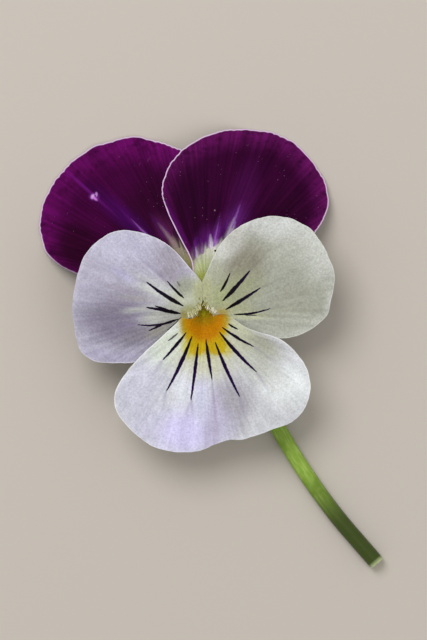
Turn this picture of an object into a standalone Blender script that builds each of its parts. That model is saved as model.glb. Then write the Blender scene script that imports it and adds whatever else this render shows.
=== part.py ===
# A picked pansy, lying face up on a flat surface.
# Metres, +Z up. +Y is the top of the bloom and +X its right side, seen from above.
# It rests on the flattened underside of its stalk and on the outer edges of its two back petals.
# From the surface up: stalk, sepals, upper petals, side petals, lower petal.

import math

import bpy
import numpy as np

MM = 0.001

# Driving sizes, in millimetres
BLADE = 0.6
GAP = 0.3
PETAL_COLUMNS = 54
PETAL_ROWS = 7
STALK_RADIUS = 0.93
STALK_SIDES = 16
STALK_REST_HEIGHT = 0.85
DISC_TOP = 6.4
DISC_CENTRE = (0.0, 2.05)
DISC_RADIUS = 2.0
CLAW_RING = 1.75
CLAW_FOOT = DISC_TOP + GAP
SEPAL_LENGTH = 9.0
SEPAL_WIDTH = 2.8
SPUR_RADIUS = 1.0
SPUR_BORE = 0.5
STIGMA_RADIUS = 0.42
REST_BAND = 0.08

# Outlines of the petals seen from above, in millimetres from the throat.
# Each runs anticlockwise, and the eye is the point that its rays start from.
UPPER_LEFT = {
    "eye": (-1.5, 4.7),
    "outline": [
        (-0.45, 3.5), (-0.2, 5.5), (0.2, 8.5), (0.6, 12.0), (0.5, 16.0), (-0.7, 19.8),
        (-2.6, 21.7), (-6.5, 23.0), (-9.5, 23.6), (-12.2, 22.9), (-14.5, 22.5),
        (-18.1, 20.2), (-20.5, 17.6), (-21.9, 14.6), (-22.2, 11.4), (-21.0, 7.8),
        (-18.4, 5.8), (-15.5, 4.7), (-12.5, 4.0), (-8.0, 3.6), (-4.5, 3.5), (-1.9, 3.25),
        (-0.95, 3.1),
    ],
}
UPPER_RIGHT = {
    "eye": (1.0, 4.6),
    "outline": [
        (0.5, 3.1), (1.6, 3.0), (3.2, 3.4), (5.2, 4.1), (8.5, 5.3), (12.5, 7.8),
        (15.2, 11.1), (16.6, 14.1), (16.4, 17.2), (14.6, 20.4), (12.2, 22.6),
        (9.0, 24.1), (5.3, 24.8), (3.1, 24.6), (0.6, 23.6), (-2.4, 21.7), (-4.5, 19.5),
        (-5.5, 16.3), (-4.9, 13.9), (-3.9, 11.9), (-1.7, 7.2), (-0.85, 5.2), (-0.1, 3.7),
    ],
}
SIDE_LEFT = {
    "eye": (-2.1, 1.2),
    "outline": [
        (-0.25, 1.2), (-0.2, 2.0), (-0.24, 3.2), (-0.45, 4.05), (-1.55, 5.7),
        (-4.3, 8.7), (-7.4, 10.4), (-10.8, 10.9), (-12.9, 10.3), (-15.6, 7.9),
        (-17.0, 4.1), (-17.4, 1.3), (-17.3, -1.6), (-16.3, -5.0), (-14.6, -6.4),
        (-11.7, -6.8), (-9.0, -6.5), (-6.0, -5.2), (-3.6, -3.0), (-2.4, -1.4),
        (-2.05, -0.75), (-1.2, 0.2),
    ],
}
SIDE_RIGHT = {
    "eye": (2.1, 1.4),
    "outline": [
        (2.2, -0.45), (2.6, -0.9), (3.8, -1.7), (6.0, -2.9), (9.1, -3.4), (11.5, -3.4),
        (13.8, -2.5), (16.6, -0.4), (17.4, 1.4), (17.7, 5.1), (17.0, 7.2), (14.9, 10.6),
        (11.8, 12.5), (8.6, 12.9), (4.8, 11.4), (2.4, 9.2), (1.5, 7.6), (0.6, 5.6),
        (0.0, 4.05), (0.12, 3.2), (0.12, 2.0), (0.3, 1.35), (1.3, 0.45),
    ],
}
LOWER = {
    "eye": (0.3, -2.3),
    "outline": [
        (0.0, -0.72), (-1.2, -0.76), (-2.2, -0.95), (-2.9, -1.3), (-5.8, -3.6),
        (-9.0, -6.6), (-11.0, -9.2), (-11.8, -11.3), (-11.5, -13.2), (-9.7, -16.0),
        (-6.5, -18.2), (-2.4, -18.9), (0.1, -18.4), (1.6, -17.7), (3.6, -17.1),
        (5.3, -17.1), (9.4, -15.6), (12.4, -14.5), (14.1, -12.1), (14.4, -9.4),
        (13.4, -6.8), (10.7, -3.95), (7.5, -2.7), (5.9, -2.2), (3.9, -1.25), (2.6, -0.9),
        (1.2, -0.75),
    ],
}

# Waved margins: height of the waves and how many go round the whole outline.
MARGIN_WAVES = {
    "petal_upper_left": (0.12, 8, 0.4),
    "petal_upper_right": (0.12, 9, 1.1),
    "petal_side_left": (0.22, 7, 2.0),
    "petal_side_right": (0.22, 7, 0.2),
    "petal_lower": (0.30, 9, 1.3),
}

# Height of the blades above the surface, in millimetres
UPPER_PEAK = 8.0
UPPER_DROOP = 7.7
UPPER_LAYER = 0.75
SIDE_LEFT_TOP = 9.85
SIDE_RIGHT_TOP = 9.95
LOWER_TOP = 10.5
GUTTER_DEPTH = 2.15
GUTTER_WIDTH = 1.15

# The notch in the lower petal's margin, where its blade has a shallow fold
NOTCH = (3.6, -17.1)
FOLD_DEPTH = 0.35

# The stalk's centre line, from its disc round the hooked neck and along the surface
STALK_ROUTE = [
    (0.0, 2.1, 5.0), (0.02, 2.5, 4.1), (0.2, 2.75, 3.0), (0.7, 2.4, 1.9), (1.4, 1.2, 1.15),
    (2.1, -0.6, STALK_REST_HEIGHT), (3.7, -4.2, STALK_REST_HEIGHT),
    (6.8, -9.9, STALK_REST_HEIGHT), (10.2, -15.8, STALK_REST_HEIGHT),
    (13.6, -21.4, STALK_REST_HEIGHT), (17.9, -27.4, STALK_REST_HEIGHT),
    (23.8, -34.3, STALK_REST_HEIGHT),
]
SPUR_ROUTE = [
    (0.0, -0.35, 7.4), (0.0, -0.5, 6.4), (-0.08, -0.75, 5.2), (-0.2, -1.15, 4.1),
    (-0.32, -1.6, 3.3),
]
PISTIL_ROUTE = [
    (0.0, 2.05, CLAW_FOOT), (0.0, 2.05, 7.1), (0.0, 1.98, 7.6), (0.0, 1.75, 7.95),
    (0.0, 1.35, 8.2), (0.0, 0.9, 8.34), (0.0, 0.22, 8.4),
]

# Sepals: azimuth round the disc in degrees, and how far the tip rises above the base
SEPALS = [(90, -1.5), (162, -0.85), (222, 0.5), (318, 0.5), (18, -0.5)]
STAMENS = [90, 162, 234, 306, 18]

COLOURS = {
    "stalk": ((0.20, 0.36, 0.07), 0.5),
    "sepal": ((0.16, 0.32, 0.08), 0.55),
    "upper": ((0.075, 0.004, 0.065), 0.6),
    "side_left": ((0.60, 0.57, 0.74), 0.6),
    "side_right": ((0.62, 0.65, 0.54), 0.6),
    "lower": ((0.76, 0.74, 0.84), 0.6),
    "stamen": ((0.80, 0.42, 0.08), 0.6),
    "pistil": ((0.34, 0.40, 0.08), 0.45),
}


def clear_scene():
    for thing in list(bpy.data.objects):
        bpy.data.objects.remove(thing)


def principled(name):
    colour, roughness = COLOURS[name]
    material = bpy.data.materials.new(name)
    material.use_nodes = True
    shader = material.node_tree.nodes["Principled BSDF"]
    shader.inputs["Base Color"].default_value = (*colour, 1.0)
    shader.inputs["Roughness"].default_value = roughness
    shader.inputs["Metallic"].default_value = 0.0
    material.diffuse_color = (*colour, 1.0)
    return material


def add_object(name, points, faces, material):
    """A smooth-shaded object from points in millimetres."""
    mesh = bpy.data.meshes.new(name)
    mesh.from_pydata([tuple(point) for point in np.asarray(points) * MM], [], faces)
    mesh.validate()
    mesh.shade_smooth()
    mesh.set_sharp_from_angle(angle=math.radians(50))
    thing = bpy.data.objects.new(name, mesh)
    bpy.context.scene.collection.objects.link(thing)
    thing.data.materials.append(material)
    return thing


def settle_boolean(base, operation, others):
    """Joins the others to the base, or cuts them from it, and removes them."""
    group = bpy.data.collections.new("operands")
    bpy.context.scene.collection.children.link(group)
    for other in others:
        bpy.context.scene.collection.objects.unlink(other)
        group.objects.link(other)
    modifier = base.modifiers.new("boolean", "BOOLEAN")
    modifier.operation = operation
    modifier.solver = "EXACT"
    modifier.operand_type = "COLLECTION"
    modifier.collection = group
    bpy.context.view_layer.update()
    graph = bpy.context.evaluated_depsgraph_get()
    settled = bpy.data.meshes.new_from_object(base.evaluated_get(graph))
    base.modifiers.clear()
    base.data = settled
    for other in others:
        bpy.data.objects.remove(other)
    bpy.data.collections.remove(group)


def ramp(start, end, value):
    """0 before start, 1 after end, and a smooth rise between them."""
    part = np.clip((value - start) / (end - start), 0.0, 1.0)
    return part * part * (3.0 - 2.0 * part)


def curve_through(points, steps, closed=False):
    """Centripetal curve through the points, with some steps in each span."""
    points = np.asarray(points, float)
    if closed:
        points = np.vstack([points[-1], points, points[:2]])
    else:
        before = 2 * points[0] - points[1]
        after = 2 * points[-1] - points[-2]
        points = np.vstack([before, points, after])
    path = []
    for p0, p1, p2, p3 in zip(points, points[1:], points[2:], points[3:]):
        t1 = np.linalg.norm(p1 - p0) ** 0.5
        t2 = t1 + np.linalg.norm(p2 - p1) ** 0.5
        t3 = t2 + np.linalg.norm(p3 - p2) ** 0.5
        for t in np.linspace(t1, t2, steps, endpoint=False):
            a1 = p0 + (p1 - p0) * t / t1
            a2 = p1 + (p2 - p1) * (t - t1) / (t2 - t1)
            a3 = p2 + (p3 - p2) * (t - t2) / (t3 - t2)
            b1 = a1 + (a2 - a1) * t / t2
            b2 = a2 + (a3 - a2) * (t - t1) / (t3 - t1)
            path.append(b1 + (b2 - b1) * (t - t1) / (t2 - t1))
    if not closed:
        path.append(points[-2])
    return np.array(path)


def outline_points(petal, count):
    """Points round a petal, closer together near its eye than at its far margin."""
    path = curve_through(petal["outline"], 12, closed=True)
    ring = np.vstack([path, path[:1]])
    reach = np.linalg.norm(ring - np.array(petal["eye"]), axis=1)
    steps = np.linalg.norm(np.diff(ring, axis=0), axis=1)
    weight = 0.3 + 0.7 * reach[:-1] / reach.max()
    along = np.concatenate([[0.0], np.cumsum(steps / weight)])
    wanted = np.linspace(0.0, along[-1], count, endpoint=False)
    return np.column_stack([np.interp(wanted, along, ring[:, axis]) for axis in (0, 1)])


def upper_height(x, y, side):
    """The back petals: level near the claw, then bent back until the tip meets the surface."""
    claw_x = side * CLAW_RING * math.sin(math.radians(36))
    claw_y = DISC_CENTRE[1] + CLAW_RING * math.cos(math.radians(36))
    reach = np.hypot(x - claw_x, y - claw_y)
    height = UPPER_PEAK - UPPER_DROOP * (np.maximum(reach - 3.0, 0.0) / 18.5) ** 1.7
    height -= 0.25 * (1.0 - ramp(0.0, 3.0, reach))
    outward = side * x
    shared = 1.0 - ramp(4.0 - 2.8 * side, 10.0 - 2.0 * side, outward)
    return height + side * UPPER_LAYER * shared


def side_left_height(x, y):
    reach = np.hypot(x + 1.66, y - 1.51)
    tucked = 1.0 - ramp(-0.8, 1.5, y)
    return SIDE_LEFT_TOP - 0.0075 * reach**2 - 0.9 * tucked


def side_right_height(x, y):
    reach = np.hypot(x - 1.66, y - 1.51)
    tucked = 1.0 - ramp(-0.8, 1.5, y)
    return SIDE_RIGHT_TOP - 0.0075 * reach**2 - 1.0 * tucked


def lower_height(x, y):
    """A broad lip that sinks to a gutter at the throat."""
    reach = np.hypot(x - 0.2, y + 0.4)
    gutter = np.exp(-((x - 0.1) ** 2) / (2 * GUTTER_WIDTH**2)) * np.exp(-((reach / 3.0) ** 2))
    bearing = np.arctan2(x - 0.2, -(y + 0.4))
    notch = math.atan2(NOTCH[0] - 0.2, -(NOTCH[1] + 0.4))
    fold = np.exp(-(((bearing - notch) / 0.16) ** 2)) * ramp(5.0, 14.0, reach)
    return LOWER_TOP - 0.0095 * reach**2 - GUTTER_DEPTH * gutter - FOLD_DEPTH * fold


def height_of(name, x, y):
    if name == "petal_upper_left":
        return upper_height(x, y, -1)
    if name == "petal_upper_right":
        return upper_height(x, y, 1)
    if name == "petal_side_left":
        return side_left_height(x, y)
    if name == "petal_side_right":
        return side_right_height(x, y)
    return lower_height(x, y)


def thickened(points, triangles, border, thickness):
    """A closed sheet: the same triangles above and below, and a rim between them."""
    corners = np.array(triangles)
    first, second, third = (points[corners[:, k]] for k in range(3))
    facing = np.cross(second - first, third - first)
    normals = np.zeros_like(points)
    for k in range(3):
        np.add.at(normals, corners[:, k], facing)
    normals /= np.linalg.norm(normals, axis=1)[:, None]
    above = points + normals * thickness / 2
    below = points - normals * thickness / 2
    below[:, 2] = np.where(below[:, 2] < REST_BAND, 0.0, below[:, 2])
    count = len(points)
    faces = [tuple(corner) for corner in triangles]
    faces += [(c + count, b + count, a + count) for a, b, c in triangles]
    for here, there in zip(border, border[1:] + border[:1]):
        faces.append((here, here + count, there + count))
        faces.append((here, there + count, there))
    return np.vstack([above, below]), faces


def petal_blade(name, petal, material):
    """A petal's blade, from rays between its eye and its outline."""
    outline = outline_points(petal, PETAL_COLUMNS)
    eye = np.array(petal["eye"])
    depth, waves, phase = MARGIN_WAVES[name]
    turn = np.linspace(0.0, 2 * math.pi, PETAL_COLUMNS, endpoint=False)
    reach = np.linalg.norm(outline - eye, axis=1)
    far = ramp(0.35, 0.8, reach / reach.max())
    points = [np.array([*eye, height_of(name, *eye)])]
    for row in range(1, PETAL_ROWS + 1):
        part = 1.0 - (1.0 - row / PETAL_ROWS) ** 1.2
        ring = eye + part * (outline - eye)
        height = height_of(name, ring[:, 0], ring[:, 1])
        wave = depth * np.sin(waves * turn + phase + 0.8 * np.sin(3 * turn))
        height = np.maximum(height + wave * far * part**3, BLADE / 2)
        points.extend(np.column_stack([ring, height]))
    triangles = []
    for column in range(PETAL_COLUMNS):
        after = (column + 1) % PETAL_COLUMNS
        triangles.append((0, 1 + column, 1 + after))
        for row in range(PETAL_ROWS - 1):
            inner = 1 + row * PETAL_COLUMNS
            outer = inner + PETAL_COLUMNS
            triangles.append((inner + column, outer + column, outer + after))
            triangles.append((inner + column, outer + after, inner + after))
    last = 1 + (PETAL_ROWS - 1) * PETAL_COLUMNS
    border = list(range(last, last + PETAL_COLUMNS))
    points, faces = thickened(np.array(points), triangles, border, BLADE)
    return add_object(name, points, faces, material)


def tube(name, centres, radii, sides, material, side=(1.0, 0.0, 0.0), flat=1.0, turn=0.0):
    """A round or oval body along a line, closed at both ends."""
    centres = np.asarray(centres, float)
    tangents = np.gradient(centres, axis=0)
    tangents /= np.linalg.norm(tangents, axis=1)[:, None]
    angles = turn + np.linspace(0.0, 2 * math.pi, sides, endpoint=False)
    points = []
    for centre, tangent, radius in zip(centres, tangents, radii):
        across = np.array(side) - np.dot(side, tangent) * tangent
        across /= np.linalg.norm(across)
        up = np.cross(tangent, across)
        for angle in angles:
            offset = across * math.cos(angle) + up * math.sin(angle) * flat
            points.append(centre + radius * offset)
    faces = []
    for ring in range(len(centres) - 1):
        for corner in range(sides):
            here = ring * sides + corner
            beside = ring * sides + (corner + 1) % sides
            faces.append((here, beside, beside + sides, here + sides))
    end = (len(centres) - 1) * sides
    points.append(centres[0])
    points.append(centres[-1])
    first, last = len(points) - 2, len(points) - 1
    for corner in range(sides):
        beside = (corner + 1) % sides
        faces.append((first, beside, corner))
        faces.append((last, end + corner, end + beside))
    return add_object(name, np.array(points), faces, material)


def claw(petal_name, azimuth, material):
    """The narrow foot of a petal, from the disc up into the underside of its blade."""
    angle = math.radians(azimuth)
    x = DISC_CENTRE[0] + CLAW_RING * math.cos(angle)
    y = DISC_CENTRE[1] + CLAW_RING * math.sin(angle)
    top = float(height_of(petal_name, x, y)) + 0.05
    share = np.linspace(0.0, 1.0, 5)
    centres = [(x, y, CLAW_FOOT + part * (top - CLAW_FOOT)) for part in share]
    radii = [0.5, 0.48, 0.48, 0.55, 0.7]
    across = (-math.sin(angle), math.cos(angle), 0.0)
    return tube("claw", centres, radii, 10, material, side=across, flat=0.5)


def beard(petal_name, start, end, toward, material):
    """Stubs in two rows along the bearded edge of a side petal."""
    stubs = []
    start, end = np.array(start), np.array(end)
    for row, inset in enumerate((0.25, 0.6)):
        for place in np.linspace(0.05, 0.8, 6):
            along = place + 0.07 * row
            x, y = start + (end - start) * along - np.array(toward) * inset
            z = float(height_of(petal_name, x, y))
            root = np.array([x, y, z + 0.05])
            tip = root + np.array([toward[0] * 0.35, toward[1] * 0.35, 0.62])
            middle = (root + tip) / 2
            stubs.append(tube("stub", [root, middle, tip], [0.15, 0.12, 0.05], 5, material))
    return stubs


def make_stalk(material):
    """Stalk, hooked neck and disc, flattened where it lies on the surface."""
    centres = curve_through(STALK_ROUTE, 4)
    centres[:, 2] = np.maximum(centres[:, 2], STALK_REST_HEIGHT)
    share = np.linspace(0.0, 1.0, len(centres))
    radii = STALK_RADIUS * (0.88 + 0.12 * ramp(0.0, 0.25, share))
    disc = [
        (DISC_RADIUS * 0.88, DISC_TOP), (DISC_RADIUS, DISC_TOP - 0.3),
        (DISC_RADIUS * 0.95, DISC_TOP - 0.75), (DISC_RADIUS * 0.6, DISC_TOP - 1.1),
    ]
    heads = [(*DISC_CENTRE, height) for _, height in disc]
    centres = np.vstack([heads, centres])
    radii = np.concatenate([[radius for radius, _ in disc], radii])
    stalk = tube("pedicel", centres, radii, STALK_SIDES, material, turn=math.pi / 2)
    spur_side = SPUR_ROUTE[1][1] + SPUR_RADIUS + GAP
    for vertex in stalk.data.vertices:
        if vertex.co.z > (DISC_TOP - 1.2) * MM:
            vertex.co.y = max(vertex.co.y, spur_side * MM)
        if vertex.co.z < REST_BAND * MM:
            vertex.co.z = 0.0
    return stalk


def make_bracteole(name, place, side, material):
    """A small scale leaf beside the lying stalk, pointing towards the bloom."""
    length, width = 2.8, 1.0
    start, end = (np.array(STALK_ROUTE[place + step][:2]) for step in (1, 0))
    along = (end - start) / np.linalg.norm(end - start)
    outward = side * np.array([-along[1], along[0]])
    base = (start + end) / 2 + outward * (STALK_RADIUS + GAP + 0.24)
    heading = along * math.cos(math.radians(28)) + outward * math.sin(math.radians(28))
    across = np.array([-heading[1], heading[0]])
    rows, columns = 6, 3
    points = []
    for row in range(rows):
        share = row / (rows - 1)
        spread = width * (0.15 + 0.85 * math.sin(math.pi * min(share + 0.05, 1.0)) ** 0.8)
        for column in range(columns):
            lean = column / (columns - 1) - 0.5
            height = 0.75 + 0.9 * share + 0.5 * lean**2
            spot = base + heading * length * share + across * spread * lean
            points.append([spot[0], spot[1], height])
    return sheet(name, points, rows, columns, material)


def sheet(name, points, rows, columns, material):
    """A blade from a grid of points, rows along it and columns across it."""
    points = np.array(points)
    triangles = []
    for row in range(rows - 1):
        for column in range(columns - 1):
            here = row * columns + column
            ahead = here + columns
            triangles.append((here, ahead, ahead + 1))
            triangles.append((here, ahead + 1, here + 1))
    border = [row * columns for row in range(rows)]
    border += [(rows - 1) * columns + column for column in range(1, columns)]
    border += [row * columns + columns - 1 for row in range(rows - 2, -1, -1)]
    border += list(range(columns - 2, 0, -1))
    points, faces = thickened(points, triangles, border, BLADE)
    return add_object(name, points, faces, material)


def make_sepal(number, azimuth, rise, material):
    """A lance-shaped sepal with a short lobe behind the place where it is attached."""
    angle = math.radians(azimuth)
    outward = np.array([math.cos(angle), math.sin(angle)])
    across = np.array([math.sin(angle), -math.cos(angle)])
    seat = DISC_RADIUS + GAP + BLADE / 2
    spine = [
        (seat + 0.4, 4.1), (seat + 0.1, 4.9), (seat, 5.6), (seat + 0.4, 6.1),
        (seat + 1.4, 6.25), (seat + 3.4, 6.2 + rise * 0.35), (seat + 6.2, 6.2 + rise * 0.8),
        (seat + SEPAL_LENGTH, 6.2 + rise),
    ]
    path = curve_through(spine, 2)
    columns = 5
    points = []
    for place, (distance, height) in enumerate(path):
        share = place / (len(path) - 1)
        blade = math.sin(math.pi * ramp(0.25, 1.06, share)) ** 0.7
        lobe = 1.0 - ramp(0.12, 0.45, share)
        width = 0.45 + (SEPAL_WIDTH - 0.45) * blade + 0.75 * lobe * ramp(-0.08, 0.1, share)
        for column in range(columns):
            lean = column / (columns - 1) - 0.5
            spot = np.array(DISC_CENTRE) + outward * distance + across * width * lean
            points.append([spot[0], spot[1], height - 0.5 * lean**2])
    return sheet(f"sepal_{number}", points, len(path), columns, material)


def make_stamen(number, azimuth, material):
    """A flat stamen: a short filament under a broad anther."""
    angle = math.radians(azimuth)
    ring = 1.04
    x = DISC_CENTRE[0] + ring * math.cos(angle)
    y = DISC_CENTRE[1] + ring * math.sin(angle)
    heights = [CLAW_FOOT, 6.8, 6.95, 7.3, 7.6, 7.75]
    radii = [0.16, 0.18, 0.34, 0.38, 0.28, 0.1]
    centres = [(x, y, height) for height in heights]
    across = (-math.sin(angle), math.cos(angle), 0.0)
    return tube(f"stamen_{number}", centres, radii, 8, material, side=across, flat=0.5)


def make_pistil(material):
    """Ovary, bent style and round stigma, one body."""
    style = curve_through(PISTIL_ROUTE, 2)
    share = np.linspace(0.0, 1.0, len(style))
    radii = 0.2 + 0.36 * np.exp(-(((share - 0.13) / 0.14) ** 2))
    ball = [-1.0, -0.8, -0.45, 0.0, 0.45, 0.8, 0.97]
    top = np.array(PISTIL_ROUTE[-1])
    heading = np.array([0.0, -1.0, 0.1])
    heading /= np.linalg.norm(heading)
    knob = [top + heading * STIGMA_RADIUS * step for step in ball[1:]]
    knob_radii = [STIGMA_RADIUS * math.sqrt(1 - step**2) for step in ball[1:]]
    keep = np.linalg.norm(style - top, axis=1) > STIGMA_RADIUS
    centres = np.vstack([style[keep], knob])
    radii = np.concatenate([radii[keep], knob_radii])
    return tube("pistil", centres, radii, 8, material)


def make_spur(blade, material):
    """The hollow spur behind the lower petal, open at the throat."""
    route = curve_through(SPUR_ROUTE, 3)
    share = np.linspace(0.0, 1.0, len(route))
    radii = SPUR_RADIUS * (1.0 - 0.2 * share)
    heading = route[-1] - route[-2]
    heading /= np.linalg.norm(heading)
    tip_radius = radii[-1]
    tip = [route[-1] + heading * tip_radius * step for step in (0.4, 0.75, 0.95)]
    tip_radii = [tip_radius * math.sqrt(1 - step**2) for step in (0.4, 0.75, 0.95)]
    outer = tube("spur", np.vstack([route, tip]), np.concatenate([radii, tip_radii]), 14, material)
    for vertex in outer.data.vertices:
        x, y, z = (value / MM for value in vertex.co)
        if z > route[0][2] - 0.2:
            blade_height = float(lower_height(x, y))
            vertex.co.z = (z + (blade_height - z) * ramp(0.15, -0.75, y)) * MM
    settle_boolean(blade, "UNION", [outer])
    bore_route = np.vstack([[(0.0, 0.05, 8.6)], route[:-2]])
    bore_radii = [SPUR_BORE] * (len(bore_route) - 1) + [SPUR_BORE * 0.8]
    bore = tube("bore", bore_route, bore_radii, 10, material)
    settle_boolean(blade, "DIFFERENCE", [bore])


def make_petals():
    upper = principled("upper")
    for name, petal, azimuth in (
        ("petal_upper_left", UPPER_LEFT, 126),
        ("petal_upper_right", UPPER_RIGHT, 54),
    ):
        blade = petal_blade(name, petal, upper)
        settle_boolean(blade, "UNION", [claw(name, azimuth, upper)])
    for name, petal, azimuth, slot, edge in (
        ("petal_side_left", SIDE_LEFT, 198, "side_left", ((-0.25, 1.2), (-2.05, -0.75), (0.73, -0.68))),
        ("petal_side_right", SIDE_RIGHT, 342, "side_right", ((0.3, 1.35), (2.2, -0.45), (-0.69, -0.72))),
    ):
        material = principled(slot)
        blade = petal_blade(name, petal, material)
        settle_boolean(blade, "UNION", [claw(name, azimuth, material), *beard(name, *edge, material)])
    material = principled("lower")
    blade = petal_blade("petal_lower", LOWER, material)
    make_spur(blade, material)


def centre_on_origin(holder):
    """Moves the holder so that the whole flower's box stands over the origin."""
    corners = []
    for thing in holder.children:
        points = np.array([vertex.co[:] for vertex in thing.data.vertices])
        corners.append(points.min(axis=0))
        corners.append(points.max(axis=0))
    low, high = np.min(corners, axis=0), np.max(corners, axis=0)
    holder.location = (-(low[0] + high[0]) / 2, -(low[1] + high[1]) / 2, -low[2])


def main():
    clear_scene()
    make_stalk(principled("stalk"))
    sepal = principled("sepal")
    for number, (azimuth, rise) in enumerate(SEPALS, start=1):
        make_sepal(number, azimuth, rise, sepal)
    make_bracteole("bracteole_left", 6, 1, sepal)
    make_bracteole("bracteole_right", 7, -1, sepal)
    make_petals()
    stamen = principled("stamen")
    for number, azimuth in enumerate(STAMENS, start=1):
        make_stamen(number, azimuth, stamen)
    make_pistil(principled("pistil"))
    holder = bpy.data.objects.new("pansy", None)
    bpy.context.scene.collection.objects.link(holder)
    for thing in list(bpy.context.scene.collection.objects):
        if thing is not holder:
            thing.parent = holder
    centre_on_origin(holder)
    bpy.context.view_layer.update()


main()
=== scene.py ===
import math

import bpy
import numpy as np
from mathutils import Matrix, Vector


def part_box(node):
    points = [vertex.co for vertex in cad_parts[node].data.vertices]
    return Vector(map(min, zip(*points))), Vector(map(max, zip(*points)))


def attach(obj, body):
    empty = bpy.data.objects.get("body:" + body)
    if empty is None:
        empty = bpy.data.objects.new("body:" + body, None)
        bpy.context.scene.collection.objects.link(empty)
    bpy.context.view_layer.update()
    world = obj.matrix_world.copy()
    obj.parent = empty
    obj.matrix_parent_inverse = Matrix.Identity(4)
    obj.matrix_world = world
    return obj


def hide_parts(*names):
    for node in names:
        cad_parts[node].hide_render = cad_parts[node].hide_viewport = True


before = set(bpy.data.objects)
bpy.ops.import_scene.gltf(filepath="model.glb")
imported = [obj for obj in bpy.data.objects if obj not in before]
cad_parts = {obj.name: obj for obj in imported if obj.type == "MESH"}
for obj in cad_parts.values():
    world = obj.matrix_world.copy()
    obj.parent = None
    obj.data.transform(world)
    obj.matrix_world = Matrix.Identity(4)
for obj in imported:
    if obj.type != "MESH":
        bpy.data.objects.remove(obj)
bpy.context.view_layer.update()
mm = 0.001

# Shapes below are in millimetres from the throat, whose place the rear stamen gives
rearStamenY = 3.09
stamenLow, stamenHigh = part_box("stamen_1")
throat = (stamenLow + stamenHigh) / 2 - Vector((0.0, rearStamenY * mm, 0.0))
throat.z = 0.0


# Small tools for points and meshes

def smoothRamp(start, end, value):
    part = np.clip((value - start) / (end - start), 0.0, 1.0)
    return part * part * (3.0 - 2.0 * part)


def curveThrough(points, steps, closed=False):
    points = np.asarray(points, float)
    if closed:
        points = np.vstack([points[-1], points, points[:2]])
    else:
        points = np.vstack([2 * points[0] - points[1], points, 2 * points[-1] - points[-2]])
    path = []
    for p0, p1, p2, p3 in zip(points, points[1:], points[2:], points[3:]):
        t1 = np.linalg.norm(p1 - p0) ** 0.5
        t2 = t1 + np.linalg.norm(p2 - p1) ** 0.5
        t3 = t2 + np.linalg.norm(p3 - p2) ** 0.5
        for t in np.linspace(t1, t2, steps, endpoint=False):
            a1 = p0 + (p1 - p0) * t / t1
            a2 = p1 + (p2 - p1) * (t - t1) / (t2 - t1)
            a3 = p2 + (p3 - p2) * (t - t2) / (t3 - t2)
            b1 = a1 + (a2 - a1) * t / t2
            b2 = a2 + (a3 - a2) * (t - t1) / (t3 - t1)
            path.append(b1 + (b2 - b1) * (t - t1) / (t2 - t1))
    if not closed:
        path.append(points[-2])
    return np.array(path)


def unit(vector):
    return np.asarray(vector, float) / np.linalg.norm(vector)


def aroundTurn(count):
    return np.linspace(0.0, 2 * math.pi, count, endpoint=False)


def pathLengths(points):  # how far along the path each point is
    steps = np.linalg.norm(np.diff(points, axis=0), axis=1)
    return np.concatenate([[0.0], np.cumsum(steps)])


def gridFaces(rows, columns, closed=False, first=0, turned=False):
    faces = []
    for row in range(rows - 1):
        for column in range(columns if closed else columns - 1):
            here = first + row * columns + column
            beside = first + row * columns + (column + 1) % columns
            if turned:
                faces.append((here, here + columns, beside + columns, beside))
            else:
                faces.append((here, beside, beside + columns, here + columns))
    return faces


def ringPoints(centre, radius, heading, angles, side=(1.0, 0.0, 0.0), flat=1.0):
    heading = unit(heading)
    across = unit(np.array(side) - np.dot(side, heading) * heading)
    up = np.cross(heading, across)
    return [centre + radius * (across * math.cos(a) + up * math.sin(a) * flat) for a in angles]


def sweptTube(centres, radii, sides, **shape):  # a closed tube, its ends drawn to a point each
    centres = np.asarray(centres, float)
    points = []
    for centre, heading, radius in zip(centres, np.gradient(centres, axis=0), radii):
        points += ringPoints(centre, radius, heading, aroundTurn(sides), **shape)
    faces = gridFaces(len(centres), sides, closed=True)
    end = (len(centres) - 1) * sides
    for corner in range(sides):
        beside = (corner + 1) % sides
        faces.append((len(points), beside, corner))
        faces.append((len(points) + 1, end + corner, end + beside))
    return np.array(points + [centres[0], centres[-1]]), faces


def makeObject(name, points, faces, edges=(), attributes=None):
    mesh = bpy.data.meshes.new(name)
    placed = np.asarray(points, float) * mm + np.array(throat)
    mesh.from_pydata([tuple(point) for point in placed], list(edges), faces)
    for key, values in (attributes or {}).items():
        layer = mesh.attributes.new(key, "FLOAT", "POINT")
        layer.data.foreach_set("value", np.asarray(values, np.float32))
    mesh.shade_smooth()
    thing = bpy.data.objects.new(name, mesh)
    bpy.context.scene.collection.objects.link(thing)
    return thing


def readValues(items, key, width):
    values = np.empty(len(items) * width, np.float32)
    items.foreach_get(key, values)
    return values.reshape(-1, width)


def meshArrays(mesh):
    points = (readValues(mesh.vertices, "co", 3) - np.array(throat)) / mm
    return points, [tuple(face.vertices) for face in mesh.polygons]


def settle(thing):  # the evaluated shape becomes the object's own plain mesh
    bpy.context.view_layer.update()
    graph = bpy.context.evaluated_depsgraph_get()
    mesh = bpy.data.meshes.new_from_object(thing.evaluated_get(graph))
    thing.modifiers.clear()
    thing.data = mesh


def addThickness(thing, thickness):
    solid = thing.modifiers.new("thickness", "SOLIDIFY")
    solid.thickness = thickness * mm
    solid.offset = 0.0


def finishPiece(thing, node, material, sharpAngle=55):
    thing.data.materials.clear()
    thing.data.materials.append(material)
    thing.data.shade_smooth()
    thing.data.set_sharp_from_angle(angle=math.radians(sharpAngle))
    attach(thing, "root")
    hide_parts(node)
    print(thing.name, len(thing.data.polygons), "faces")


# Small tools for node trees

class Wire:  # an output of a node, which takes part in sums as a number does
    def __init__(self, tree, socket):
        self.tree = tree
        self.socket = socket


def treeOf(values):
    return next(value.tree for value in values if isinstance(value, Wire))


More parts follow.
